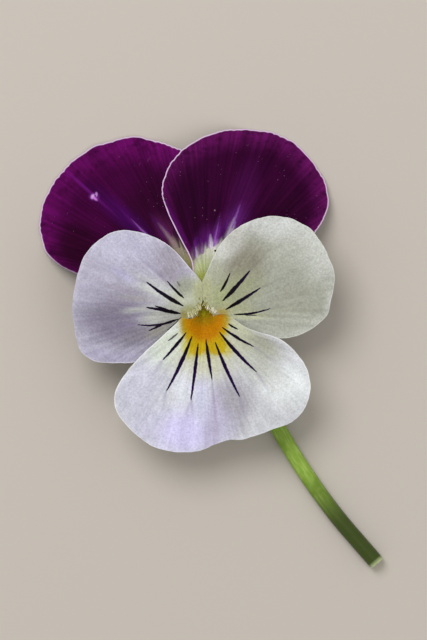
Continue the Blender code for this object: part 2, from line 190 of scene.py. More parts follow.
def feed(socket, value):
    if isinstance(value, Wire):
        value.tree.links.new(value.socket, socket)
    else:
        socket.default_value = value


def addNode(tree, kind, inputs=None, output=0, **settings):
    node = tree.nodes.new(kind)
    for name, value in settings.items():
        setattr(node, name, value)
    for key, value in (inputs or {}).items():
        feed(node.inputs[key], value)
    return Wire(tree, node.outputs[output]) if len(node.outputs) else node


def calc(operation, *values):
    return addNode(treeOf(values), "ShaderNodeMath", dict(enumerate(values)), operation=operation)


for sign, operation in (("add", "ADD"), ("sub", "SUBTRACT"), ("mul", "MULTIPLY"), ("truediv", "DIVIDE"),
                        ("pow", "POWER")):
    setattr(Wire, f"__{sign}__", lambda first, second, kind=operation: calc(kind, first, second))
    setattr(Wire, f"__r{sign}__", lambda second, first, kind=operation: calc(kind, first, second))


def vectorCalc(operation, *values):
    inputs, output = dict(enumerate(values)), "Value" if operation in ("LENGTH", "DOT_PRODUCT") else "Vector"
    return addNode(treeOf(values), "ShaderNodeVectorMath", inputs, output, operation=operation)


def combine(*values):
    return addNode(treeOf(values), "ShaderNodeCombineXYZ", dict(enumerate(values)))


def separate(vector):
    node = addNode(vector.tree, "ShaderNodeSeparateXYZ", {0: vector}).socket.node
    return [Wire(vector.tree, socket) for socket in node.outputs]


def softStep(value, low, high):  # 0 at low and 1 at high, either way round
    inputs = {"Value": value, "From Min": low, "From Max": high}
    return addNode(value.tree, "ShaderNodeMapRange", inputs, interpolation_type="SMOOTHSTEP")


def colour(red, green, blue, shade=1.0):  # screen values from 0 to 255
    linear = []
    for value in (red / 255, green / 255, blue / 255):
        linear.append(shade * (value / 12.92 if value <= 0.04045 else ((value + 0.055) / 1.055) ** 2.4))
    return (*linear, 1.0)


def mixColour(factor, first, second, mode="MIX"):  # a fixed colour is given in screen values
    values = [factor]
    for tint in (first, second):
        values.append(colour(*tint) if isinstance(tint, tuple) and len(tint) == 3 else tint)
    inputs = dict(zip((0, 6, 7), values))
    return addNode(treeOf(values), "ShaderNodeMix", inputs, 2, data_type="RGBA", blend_type=mode)


def noiseAt(vector, scale, detail=2.0, roughness=0.5):
    inputs = {"Vector": vector, "Scale": scale, "Detail": detail, "Roughness": roughness}
    return addNode(vector.tree, "ShaderNodeTexNoise", inputs)


def flatAway(point, centre):  # from a centre, seen from above
    return vectorCalc("MULTIPLY", vectorCalc("SUBTRACT", point, centre), (1.0, 1.0, 0.0))


def streaksAlong(angle, reach, perTurn, stretch, seed):  # noise drawn out along the veins
    return noiseAt(combine(angle * (perTurn / (2 * math.pi)), reach * stretch, float(seed)), 1.0, 3.0, 0.55)


def attribute(material, name):
    return addNode(material.node_tree, "ShaderNodeAttribute", output="Fac", attribute_name=name)


def flowerPoint(material):  # millimetres from the throat
    place = addNode(material.node_tree, "ShaderNodeTexCoord", output="Object")
    return vectorCalc("MULTIPLY_ADD", place, (1 / mm,) * 3, tuple(-value / mm for value in throat))


def newFinish(name, roughness, specular):
    material = bpy.data.materials.new(name)
    material.use_nodes = True
    shader = material.node_tree.nodes["Principled BSDF"]
    shader.inputs["Roughness"].default_value = roughness
    shader.inputs["Specular IOR Level"].default_value = specular
    return material, shader


def closeFinish(shader, tone, relief, strength, distance):  # base colour and bump
    inputs = {"Height": relief, "Strength": strength, "Distance": distance}
    feed(shader.inputs["Normal"], addNode(tone.tree, "ShaderNodeBump", inputs))
    feed(shader.inputs["Base Color"], tone)


def newGroup(name, kind, inputs, outputs):  # sockets are given as name and kind
    tree = bpy.data.node_groups.new(name, kind)
    for direction, sockets in (("INPUT", inputs), ("OUTPUT", outputs)):
        for label, socketKind in sockets.items():
            tree.interface.new_socket(name=label, in_out=direction, socket_type="NodeSocket" + socketKind)
    node = addNode(tree, "NodeGroupInput").socket.node
    return {socket.name: Wire(tree, socket) for socket in node.outputs}


def newTree(name, inputs):  # a geometry tree
    inputs = {"Geometry": "Geometry", **inputs, "Material": "Material"}
    return newGroup(name, "GeometryNodeTree", inputs, {"Geometry": "Geometry"})


def angleOf(vector):  # round the upright axis
    x, y, _ = separate(vector)
    return calc("ARCTAN2", y, x)


def namedAttribute(tree, name):
    return addNode(tree, "GeometryNodeInputNamedAttribute", {"Name": name}, data_type="FLOAT")


def curveToMesh(curve, circle, scale, place=None):  # place moves the circle's points
    profile = addNode(curve.tree, "GeometryNodeCurvePrimitiveCircle", circle)
    if place:
        profile = addNode(curve.tree, "GeometryNodeSetPosition", {"Geometry": profile, "Position": place})
    inputs = {"Curve": curve, "Profile Curve": profile, "Scale": scale, "Fill Caps": True}
    return addNode(curve.tree, "GeometryNodeCurveToMesh", inputs)


def closeTree(geometry, given):
    real = addNode(geometry.tree, "GeometryNodeRealizeInstances", {0: geometry})
    inputs = {"Geometry": real, "Material": given["Material"]}
    addNode(geometry.tree, "NodeGroupOutput", {0: addNode(geometry.tree, "GeometryNodeSetMaterial", inputs)})
    return geometry.tree


def runTree(thing, tree, values):
    modifier = thing.modifiers.new(tree.name, "NODES")
    modifier.node_group = tree
    for item in tree.interface.items_tree:
        if item.in_out == "INPUT" and item.name in values:
            modifier[item.identifier] = values[item.name]


# Heights of the petals over the surface they lie on

bloom = {
    "upperPeak": 8.0,
    "upperDroop": 7.7,
    "upperLayer": 0.75,
    "sideTops": {-1: 9.85, 1: 9.95},
    "sideTucks": {-1: 0.9, 1: 1.0},
    "lowerTop": 10.5,
    "gutterDepth": 2.15,
    "gutterWidth": 1.15,
    "notch": (3.6, -17.1),
    "foldDepth": 0.35,
    "clawRing": 1.75,
    "clawFoot": 6.7,
    "clawRadii": [(0.42, 0.0), (0.5, 0.1), (0.48, 0.4), (0.5, 0.7), (0.7, 1.0)],  # and share of its height
    "discCentre": (0.0, 2.05),
    "lipGap": 0.4,
    "mouth": (0.03, -0.15),
    "mouthRadius": 0.3,
    "mouthDepth": 1.2,
    "grow": 0.07,  # makes up for what the small teeth take off the outline
    "thickness": 0.3,
    "columns": 540,
    "rows": 36,
    "edgeRows": (0.34, 0.2, 0.09, 0.0),  # distances from the margin
    "edgeStart": (0.3, 0.6),  # teeth and growth set in between these shares of the reach
    "footMargin": 5.0,
}


def upperHeight(x, y, side):
    clawX = side * bloom["clawRing"] * math.sin(math.radians(36))
    clawY = bloom["discCentre"][1] + bloom["clawRing"] * math.cos(math.radians(36))
    reach = np.hypot(x - clawX, y - clawY)
    height = bloom["upperPeak"] - bloom["upperDroop"] * (np.maximum(reach - 3.0, 0.0) / 18.5) ** 1.7
    height -= 0.25 * (1.0 - smoothRamp(0.0, 3.0, reach))
    shared = 1.0 - smoothRamp(4.0 - 2.8 * side, 10.0 - 2.0 * side, side * x)
    return height + side * bloom["upperLayer"] * shared


def sideHeight(x, y, side):
    reach = np.hypot(x - 1.66 * side, y - 1.51)
    tucked = bloom["sideTucks"][side] * (1.0 - smoothRamp(-0.8, 1.5, y))
    return bloom["sideTops"][side] - 0.0075 * reach**2 - tucked


def lowerHeight(x, y):
    reach = np.hypot(x - 0.2, y + 0.4)
    gutter = np.exp(-((x - 0.1) ** 2) / (2 * bloom["gutterWidth"] ** 2)) * np.exp(-((reach / 3.0) ** 2))
    bearing = np.arctan2(x - 0.2, -(y + 0.4))
    notch = math.atan2(bloom["notch"][0] - 0.2, -(bloom["notch"][1] + 0.4))
    fold = np.exp(-(((bearing - notch) / 0.16) ** 2)) * smoothRamp(5.0, 14.0, reach)
    sunk = bloom["gutterDepth"] * gutter + bloom["foldDepth"] * fold
    return bloom["lowerTop"] - 0.0095 * reach**2 - sunk


def lipHeight(x, y):  # the lower petal carried on under the side petals and down into the spur
    height = lowerHeight(x, y)
    under = np.minimum(sideHeight(x, y, -1), sideHeight(x, y, 1)) - bloom["lipGap"]
    height = height + (np.minimum(height, under) - height) * smoothRamp(-0.8, -0.15, y)
    mouthX, mouthY = bloom["mouth"]
    away = ((x - mouthX) ** 2 + (y - mouthY) ** 2) / bloom["mouthRadius"] ** 2
    return height - bloom["mouthDepth"] * np.exp(-away * away)


# Shapes of the petals. Waves are (height, count, phase), teeth, ribs and folds (size, count in a turn)

upperLeftPetal = {
    "node": "petal_upper_left",
    "slot": "petal_purple",
    "height": lambda x, y: upperHeight(x, y, -1),
    "eye": (-1.5, 4.7),
    "outline": [
        (-0.45, 3.5), (-0.2, 5.5), (0.2, 8.5), (0.6, 12.0), (0.5, 16.0), (-0.7, 19.8), (-2.6, 21.7),
        (-6.5, 23.2), (-9.6, 23.87), (-12.4, 23.2), (-14.6, 22.6), (-18.1, 20.2), (-20.4, 17.5),
        (-21.8, 14.55), (-22.2, 11.4), (-21.0, 7.8), (-18.4, 5.8), (-15.5, 4.7), (-12.5, 4.0),
        (-8.0, 3.6), (-4.5, 3.5), (-1.9, 3.25), (-0.95, 3.1),
    ],
    "veinCentre": (-0.7, 3.3),
    "wave": (0.12, 8, 0.4),
    "teeth": (0.16, 84),
    "ribs": (0.10, 150),
    "folds": (0.30, 26),
    "clawAzimuth": 126,
    "seed": 1,
}
upperRightPetal = {
    "node": "petal_upper_right",
    "slot": "petal_purple",
    "height": lambda x, y: upperHeight(x, y, 1),
    "eye": (1.0, 4.6),
    "outline": [
        (0.5, 3.1), (1.6, 3.0), (3.2, 3.4), (5.2, 4.1), (8.5, 5.3), (12.5, 7.8), (15.3, 11.0),
        (16.85, 14.0), (16.6, 17.3), (14.7, 20.55), (12.45, 22.97), (9.15, 24.46), (5.3, 24.76),
        (3.1, 24.62), (0.6, 23.9), (-2.5, 22.15), (-4.6, 19.7), (-5.55, 16.3), (-4.95, 13.9),
        (-4.0, 11.8), (-2.9, 9.6), (-2.1, 8.1), (-1.58, 6.9), (-1.42, 6.1), (-1.38, 5.4), (-1.1, 4.6),
        (-0.4, 3.7),
    ],
    "veinCentre": (0.4, 3.4),
    "wave": (0.12, 9, 1.1),
    "teeth": (0.15, 82),
    "ribs": (0.10, 150),
    "folds": (0.30, 24),
    "clawAzimuth": 54,
    "seed": 2,
}
sideLeftPetal = {
    "node": "petal_side_left",
    "slot": "petal_lilac",
    "height": lambda x, y: sideHeight(x, y, -1),
    "eye": (-2.1, 1.2),
    "outline": [
        (-0.14, 1.3), (-0.03, 2.0), (-0.03, 3.2), (-0.16, 4.0), (-1.55, 5.7), (-4.3, 8.7), (-7.4, 10.4),
        (-10.8, 11.0), (-12.9, 10.4), (-15.7, 8.0), (-16.85, 5.2), (-17.15, 3.9), (-17.58, 1.0),
        (-17.4, -1.6), (-16.55, -5.1), (-14.8, -6.5), (-11.8, -6.85), (-9.0, -6.72), (-6.0, -5.4),
        (-3.6, -3.0), (-2.75, -1.6), (-2.3, -1.05), (-1.75, -0.82), (-1.3, -0.55), (-0.98, -0.05),
        (-0.62, 0.6),
    ],
    "veinCentre": (-1.0, 0.1),
    "wave": (0.22, 7, 2.0),
    "teeth": (0.06, 60),
    "ribs": (0.10, 110),
    "folds": (0.34, 22),
    "clawAzimuth": 198,
    "seed": 3,
}
sideRightPetal = {
    "node": "petal_side_right",
    "slot": "petal_cream",
    "height": lambda x, y: sideHeight(x, y, 1),
    "eye": (2.1, 1.4),
    "outline": [
        (2.2, -0.45), (2.6, -0.9), (3.8, -1.7), (6.0, -2.9), (9.1, -3.5), (11.6, -3.45), (14.0, -2.6),
        (16.2, -1.0), (16.9, 0.0), (17.15, 1.3), (17.6, 3.3), (17.7, 5.0), (17.5, 6.1), (16.95, 7.2),
        (16.55, 8.3), (15.45, 10.0), (14.6, 11.1), (13.2, 11.95), (11.8, 12.6), (10.4, 12.85),
        (8.8, 12.9), (7.7, 12.65), (6.5, 12.3), (4.3, 11.05), (2.4, 9.2), (1.5, 7.6), (0.6, 5.6),
        (-0.1, 4.0), (0.0, 3.2), (0.0, 2.0), (0.14, 1.4), (1.3, 0.45),
    ],
    "veinCentre": (1.0, 0.0),
    "wave": (0.22, 7, 0.2),
    "teeth": (0.05, 56),
    "ribs": (0.10, 110),
    "folds": (0.32, 20),
    "clawAzimuth": 342,
    "seed": 4,
}
lowerPetal = {
    "node": "petal_lower",
    "slot": "petal_white",
    "height": lipHeight,
    "eye": (0.3, -2.3),
    "outline": [
        (0.0, 1.35), (-0.75, 0.95), (-1.1, 0.3), (-0.98, -0.3), (-1.2, -0.72), (-1.75, -0.92),
        (-2.3, -0.9), (-2.85, -0.8), (-3.6, -1.5), (-5.8, -3.55), (-9.0, -6.6), (-11.0, -9.2),
        (-11.9, -11.3), (-11.65, -13.3), (-9.65, -15.9), (-6.5, -18.2), (-2.4, -18.9), (0.1, -18.5),
        (1.6, -17.8), (3.6, -17.2), (5.3, -17.15), (9.4, -15.8), (12.4, -14.5), (14.1, -12.1),
        (14.4, -9.4), (13.45, -6.72), (10.78, -3.9), (7.5, -2.7), (5.9, -2.1), (5.0, -1.55),
        (4.0, -0.8), (3.1, -0.2), (2.6, 0.1), (2.1, 0.35), (1.6, 0.55), (1.25, 0.8), (0.7, 1.15),
    ],
    "veinCentre": (0.15, -0.7),
    "wave": (0.30, 9, 1.3),
    "teeth": (0.06, 60),
    "ribs": (0.12, 110),
    "folds": (0.36, 24),
    "clawAzimuth": None,  # it has a spur in place of a claw
    "seed": 5,
}


# Paint of the petals. Marks are (x, y, x, y, half width, bow, strength), and strokes (colour, soft, marks).
# Spots are (x, y, half width, half height, tilt, edge, ragged, colour, strength), painted in this order.

paint = {
    "pigment": ((8, 0, 10), (28, 0, 56), 4.0, 11.0),  # from near the throat to far out
    "faintPigment": (136, 120, 160),
    "throat": (0.0, 0.6, 0.0),
}

upperLook = {
    "perTurn": 300,
    "stretch": 0.06,
    "roughness": 0.7,
    "specular": 0.02,
    "sheen": (0.05, (120, 10, 120)),
    # the pale margin line: partly the petal's own pale edge, partly painted highlight on the curled margin
    "edge": (0.2, (226, 196, 230), 0.95),
    "edgeFrom": (2.0, 3.2),
    "mottle": 0.25,
    "grain": 0.6,
    "veins": 0.55,
    "swell": 0.4,
}
upperLeftPetal["look"] = {
    **upperLook,
    "ground": (58, 4, 49),
    "shade": (48, 3, 40),
    "light": (70, 5, 61),
    "rim": (5.0, (98, 12, 88), 0.9),
    "back": (86, 36, 84),
    "edgeGaps": [(-16.4, 4.4, 6.0, 3.4, -20, 0.5, 0.0, None, 0.6)],
    "spots": [
        # painted shade: a darker band beside the upper right petal's edge, which lies over this petal
        (-7.5, 13.5, 6.0, 3.4, 60, 0.6, 0.3, (40, 4, 30), 0.8),
        (-17.2, 8.6, 3.1, 3.2, 0, 0.6, 0.3, (42, 4, 30), 0.92),
        (-3.6, 18.6, 1.6, 2.6, 0, 0.7, 0.3, (74, 8, 66), 0.6),
        # painted highlight: a lighter violet streak across the petal
        (-10.6, 12.8, 5.4, 1.1, 138, 0.8, 0.5, (66, 8, 84), 0.6),
        (-4.2, 9.9, 3.0, 1.2, 124, 0.7, 0.9, (90, 36, 76), 0.6),
        # the pale claw zone, greyed to olive: partly its own pale colour, partly painted shade from the
        # upper right petal above it
        (-2.5, 7.3, 2.7, 1.2, 118, 0.4, 0.9, (156, 150, 122), 0.95),
        (-1.6, 6.1, 1.5, 0.9, 118, 0.6, 0.0, (166, 166, 106), 0.9),
        (-15.6, 16.5, 3.4, 0.2, 138, 0.95, 0.0, (98, 20, 106), 0.75),
    ],
    "strokes": [
        ((52, 14, 46), 0.3, [
            (-4.0, 11.4, -3.1, 8.6, 0.2, 0.0, 1.0), (-3.4, 10.8, -2.5, 8.4, 0.12, 0.0, 0.8),
        ]),
        ((86, 26, 100), 0.95, [
            (-4.4, 9.8, -7.4, 13.6, 0.34, 0.0, 0.8), (-7.2, 10.1, -11.4, 14.0, 0.16, 0.1, 0.8),
        ]),
        # a pale streak greyed the same way: partly its own colour, partly painted shade
        ((146, 126, 124), 0.9, [(-3.4, 8.6, -6.2, 12.2, 0.2, 0.0, 1.0)]),
        ((142, 98, 168), 0.9, [(-7.4, 10.3, -9.8, 12.7, 0.06, 0.04, 0.9)]),
    ],
    "specks": [
        (-14.76, 15.68, 0.62, 0.46, 0, 0.6, 0.0, (112, 40, 132), 0.8),
        (-14.96, 15.68, 0.24, 0.3, -30, 0.6, 0.0, (210, 158, 220), 1.0),
        (-14.48, 15.98, 0.16, 0.28, 0, 0.6, 0.0, (194, 136, 204), 0.95),
        (-14.64, 15.38, 0.36, 0.16, -42, 0.6, 0.0, (190, 118, 200), 0.95),
        (-14.64, 15.78, 0.12, 0.1, 0, 0.7, 0.0, (66, 40, 76), 0.95),
        (-7.4, 20.7, 0.26, 0.1, 60, 0.9, 0.0, (110, 50, 104), 0.45),
        (-8.6, 20.1, 0.22, 0.08, 60, 0.9, 0.0, (104, 44, 98), 0.35),
    ],
}
upperRightPetal["look"] = {
    **upperLook,
    "ground": (48, 4, 41),
    "shade": (40, 3, 34),
    "light": (60, 6, 52),
    "rim": (3.6, (92, 18, 82), 0.85),
    "back": (86, 36, 84),
    "spots": [
        (-1.4, 13.8, 3.6, 6.0, 20, 0.6, 0.3, (37, 3, 31), 0.8),
        (11.2, 13.4, 3.6, 2.8, 30, 0.7, 0.3, (43, 5, 34), 0.7),
        (5.4, 15.4, 1.5, 4.4, -14, 0.8, 0.4, (72, 15, 72), 0.65),
        (4.0, 11.4, 2.7, 1.5, 66, 0.7, 0.6, (90, 28, 104), 0.6),
        (0.4, 9.6, 2.0, 1.3, 60, 0.7, 0.6, (78, 20, 90), 0.6),
        (-3.5, 11.7, 0.36, 3.4, 26, 0.9, 0.2, (88, 12, 104), 0.4),
        (2.7, 5.0, 3.9, 4.5, 0, 0.16, 0.32, (198, 196, 192), 1.0),
        (0.4, 7.0, 1.5, 1.7, 0, 0.7, 0.0, (170, 172, 142), 0.85),
        (0.1, 5.4, 1.5, 1.5, 0, 0.6, 0.0, (172, 180, 126), 0.9),
        (-0.1, 4.5, 0.8, 1.0, 0, 0.6, 0.0, (166, 172, 78), 0.9),
    ],
    "strokes": [
        ((66, 14, 80), 0.5, [
            (-0.85, 10.2, -1.25, 6.95, 0.22, 0.0, 1.0), (-0.35, 10.0, -0.43, 7.65, 0.18, 0.0, 1.0),
            (0.15, 10.2, 0.02, 7.85, 0.12, 0.0, 1.0), (0.75, 10.6, 0.52, 8.5, 0.18, 0.0, 1.0),
            (1.45, 11.2, 1.52, 9.0, 0.12, 0.0, 0.9), (2.3, 11.6, 2.0, 9.15, 0.22, 0.0, 1.0),
            (3.0, 12.2, 2.8, 9.9, 0.18, 0.0, 1.0),
        ]),
        ((104, 42, 124), 0.95, [
            (3.6, 10.4, 5.3, 15.2, 0.5, 0.0, 0.8), (1.4, 8.8, 2.4, 13.6, 0.3, 0.0, 0.8),
            (0.9, 8.6, 0.9, 11.2, 0.3, 0.0, 0.7), (-0.8, 7.4, -1.1, 9.8, 0.24, 0.0, 0.8),
            (-0.1, 7.8, -0.3, 9.9, 0.2, 0.0, 0.7),
        ]),
        ((192, 184, 196), 0.85, [
            (3.3, 9.3, 4.3, 12.9, 0.3, 0.0, 1.0), (1.15, 8.5, 0.98, 10.6, 0.17, 0.0, 1.0),
            (-0.8, 7.3, -0.98, 8.9, 0.09, 0.0, 0.7),
        ]),
        ((138, 92, 166), 0.85, [
            (3.9, 11.3, 5.05, 14.6, 0.09, 0.0, 1.0), (1.4, 8.8, 2.1, 12.2, 0.07, 0.0, 0.9),
            (-0.2, 7.8, -0.35, 9.0, 0.07, 0.0, 0.4),
        ]),
    ],
    "specks": [
        (1.85, 9.45, 0.22, 0.36, -20, 0.9, 0.0, (150, 100, 165), 0.4),
        (1.6, 13.75, 0.1, 0.1, 0, 0.6, 0.0, (150, 122, 112), 0.6),
        (1.65, 8.28, 0.3, 0.28, 0, 0.8, 0.0, (206, 204, 184), 0.6),
        (1.66, 8.28, 0.15, 0.15, 0, 0.4, 0.0, (20, 18, 24), 1.0),
    ],
}
sideLeftPetal["look"] = {
    "ground": (178, 174, 192),
    "shade": (165, 160, 179),
    "light": (190, 188, 203),
    "perTurn": 170,
    "stretch": 0.10,
    "roughness": 0.6,
    "specular": 0.08,
    "sheen": (0.05, (230, 226, 240)),
    "edge": (0.16, (228, 228, 232), 0.55),
    "edgeGaps": [(-17.6, 0.0, 3.0, 7.0, 0, 0.4, 0.0, None, 0.85)],
    "mottle": 0.8,
    "grain": 0.9,
    "veins": 0.34,
    "swell": 0.3,
    "rim": (1.2, (200, 196, 212), 0.5),
    "back": (196, 196, 200),
    "spots": [
        # painted light: this oval makes the top of the petal lighter, where it bows up
        (-10.8, 8.8, 3.8, 1.9, 0, 0.7, 0.3, (188, 185, 206), 0.8),
        (-4.2, 7.0, 2.4, 1.5, -50, 0.7, 0.3, (156, 149, 160), 0.75),
        # painted shade: three darker ovals across the middle, where the petal sinks into a hollow
        (-11.0, 1.8, 4.0, 2.2, 6, 0.8, 0.3, (148, 141, 159), 0.8),
        (-11.6, -1.9, 4.8, 2.5, -8, 0.75, 0.35, (124, 116, 135), 0.95),
        (-8.6, -3.1, 2.6, 1.1, 20, 0.7, 0.3, (130, 124, 134), 0.6),
        (-12.4, -6.2, 5.0, 0.9, -4, 0.8, 0.2, (170, 163, 188), 0.8),
        (-4.6, 4.6, 1.7, 1.2, -45, 0.7, 0.3, (144, 136, 146), 0.7),
        (-6.2, 2.9, 3.2, 1.2, -26, 0.95, 0.4, (200, 204, 196), 0.75),
        (-2.4, 1.2, 2.2, 2.6, -30, 0.6, 0.4, (186, 190, 168), 0.9),
        (-2.3, 3.6, 1.2, 1.4, -50, 0.7, 0.0, (146, 149, 130), 0.8),
        (-0.4, 2.7, 1.0, 2.1, 0, 0.6, 0.0, (170, 172, 134), 0.95),
        (-5.6, -0.4, 2.6, 1.0, 16, 0.7, 0.3, (182, 184, 172), 0.8),
        (-8.9, 1.8, 2.3, 0.42, -8, 0.8, 0.4, (156, 152, 154), 0.75),
        (-8.3, 0.45, 2.2, 0.4, 8, 0.8, 0.4, (196, 198, 190), 0.7),
        (-10.8, 3.1, 3.2, 0.4, -14, 0.8, 0.5, (154, 146, 162), 0.6),
        (-10.6, 4.9, 1.8, 0.5, -34, 0.8, 0.5, (180, 174, 208), 0.6),
        (-6.0, 6.7, 1.6, 1.5, -40, 0.8, 0.3, (160, 153, 170), 0.35),
        (-5.4, -2.2, 2.2, 0.9, 28, 0.7, 0.3, (148, 146, 132), 0.8),
        (-1.7, 0.0, 1.0, 1.0, 0, 0.6, 0.0, (172, 171, 116), 0.85),
        (-2.6, -0.5, 0.34, 0.66, 16, 0.9, 0.0, (164, 146, 48), 0.8),
    ],
    "belly": 0.28,
    "marks": [
        (-2.55, 1.85, -4.85, 4.2, 0.12, 0.08, 1.0), (-3.05, 3.45, -3.55, 4.15, 0.06, 0.0, 0.6),
        (-2.6, 0.8, -7.7, 4.1, 0.2, 0.15, 1.0), (-2.95, -0.25, -7.7, 0.62, 0.19, -0.05, 1.0),
        (-4.6, 0.15, -6.5, 0.85, 0.12, 0.0, 1.0), (-3.25, -0.9, -8.9, -1.7, 0.1, 0.42, 1.0),
        (-3.5, -1.0, -6.5, -2.0, 0.12, 0.02, 1.0), (-5.3, -1.6, -7.35, -2.55, 0.1, 0.0, 1.0),
        # the last mark is a thin dark line that follows the lower petal's edge
        (-2.9, -0.65, -4.9, -2.5, 0.06, 0.08, 0.85),
    ],
    # painted shade: dark olive strokes in the gaps between the beard hairs
    "strokes": [((118, 112, 48), 0.4, [
        (-0.55, 1.95, -0.33, 1.45, 0.05, 0.0, 0.9), (-0.68, 1.3, -0.42, 0.8, 0.06, 0.0, 1.0),
        (-0.95, 0.95, -0.7, 0.5, 0.05, 0.0, 0.8), (-1.3, 0.6, -1.1, 0.2, 0.04, 0.0, 0.5),
    ])],
    "faintMarks": [
        (-4.7, 4.0, -7.0, 7.0, 0.14, 0.2, 0.7), (-7.4, 3.9, -12.0, 6.4, 0.14, 0.3, 0.6),
        (-7.4, 0.6, -13.0, 1.6, 0.12, 0.2, 0.5), (-8.7, -1.7, -13.6, -2.6, 0.12, -0.2, 0.5),
        (-6.0, 5.4, -9.6, 8.4, 0.12, 0.2, 0.4),
    ],
}
sideRightPetal["look"] = {
    "ground": (163, 165, 152),
    "shade": (153, 154, 142),
    "light": (176, 178, 166),
    "perTurn": 150,
    "stretch": 0.10,
    "roughness": 0.6,
    "specular": 0.08,
    "sheen": (0.05, (236, 238, 226)),
    "edge": (0.16, (222, 224, 214), 0.5),
    "mottle": 0.5,
    "grain": 1.0,
    "veins": 0.25,
    "swell": 0.3,
    "rim": (1.6, (200, 202, 196), 0.6),
    "back": (190, 194, 180),
    "spots": [
        (9.8, 12.2, 5.2, 2.2, -12, 0.8, 0.3, (207, 209, 206), 0.85),
        (15.7, 8.2, 2.4, 3.8, 10, 0.8, 0.3, (202, 205, 197), 0.8),
        (5.6, 6.4, 3.2, 2.4, 40, 0.65, 0.3, (136, 132, 116), 0.9),
        (4.2, 9.4, 1.2, 2.2, -30, 0.7, 0.2, (188, 186, 180), 0.7),
        (2.3, 8.0, 1.0, 1.6, -30, 0.8, 0.0, (204, 205, 198), 0.8),
        (1.6, 5.4, 1.1, 1.9, -10, 0.7, 0.0, (166, 168, 146), 0.8),
        (4.9, 3.0, 3.2, 2.2, 20, 0.7, 0.3, (150, 153, 120), 0.85),
        (2.2, 1.8, 1.4, 2.2, -20, 0.7, 0.0, (160, 165, 122), 0.85),
        (0.3, 2.8, 1.0, 2.1, 0, 0.6, 0.0, (168, 170, 130), 0.95),
        (4.8, 0.2, 2.6, 0.9, -6, 0.7, 0.2, (188, 190, 148), 0.85),
        (12.4, 2.2, 4.0, 1.5, 10, 0.8, 0.2, (154, 155, 140), 0.7),
        (12.6, -1.6, 4.8, 1.5, 8, 0.8, 0.2, (180, 182, 169), 0.65),
        (12.0, 7.9, 2.2, 1.7, 0, 0.8, 0.4, (180, 182, 171), 0.6),
        (9.4, 0.2, 5.6, 0.9, 4, 0.8, 0.3, (180, 182, 163), 0.6),
        (5.0, -0.3, 3.2, 0.55, -4, 0.7, 0.2, (203, 205, 172), 0.8),
        (2.7, 0.0, 0.72, 0.36, -6, 0.9, 0.0, (184, 168, 60), 0.75),
    ],
    "faintTint": (126, 124, 118),
    "belly": 0.34,
    "marks": [
        (2.35, 2.7, 3.65, 5.3, 0.12, -0.09, 1.0), (2.6, 1.45, 6.4, 5.65, 0.21, -0.08, 1.0),
        (3.0, 0.3, 7.8, 3.3, 0.18, -0.06, 1.0), (4.1, -0.32, 9.15, 0.5, 0.1, -0.25, 1.0),
        (5.6, -0.4, 7.3, -0.45, 0.06, 0.0, 0.8),
    ],
    # painted shade: dark olive strokes in the gaps between the beard hairs
    "strokes": [((118, 112, 48), 0.4, [
        (0.27, 2.0, 0.3, 1.5, 0.05, 0.0, 0.8), (0.58, 1.4, 0.4, 0.95, 0.06, 0.0, 0.8),
    ])],
    "faintMarks": [
        (6.2, 5.5, 8.3, 6.9, 0.11, 0.2, 0.9), (7.6, 3.2, 12.6, 5.0, 0.12, 0.2, 0.7),
        (3.6, 5.2, 4.6, 7.4, 0.1, 0.0, 0.6), (1.9, 3.4, 2.4, 5.4, 0.1, 0.0, 0.5),
        (9.0, 0.45, 12.4, 0.9, 0.1, 0.0, 0.5),
    ],
}
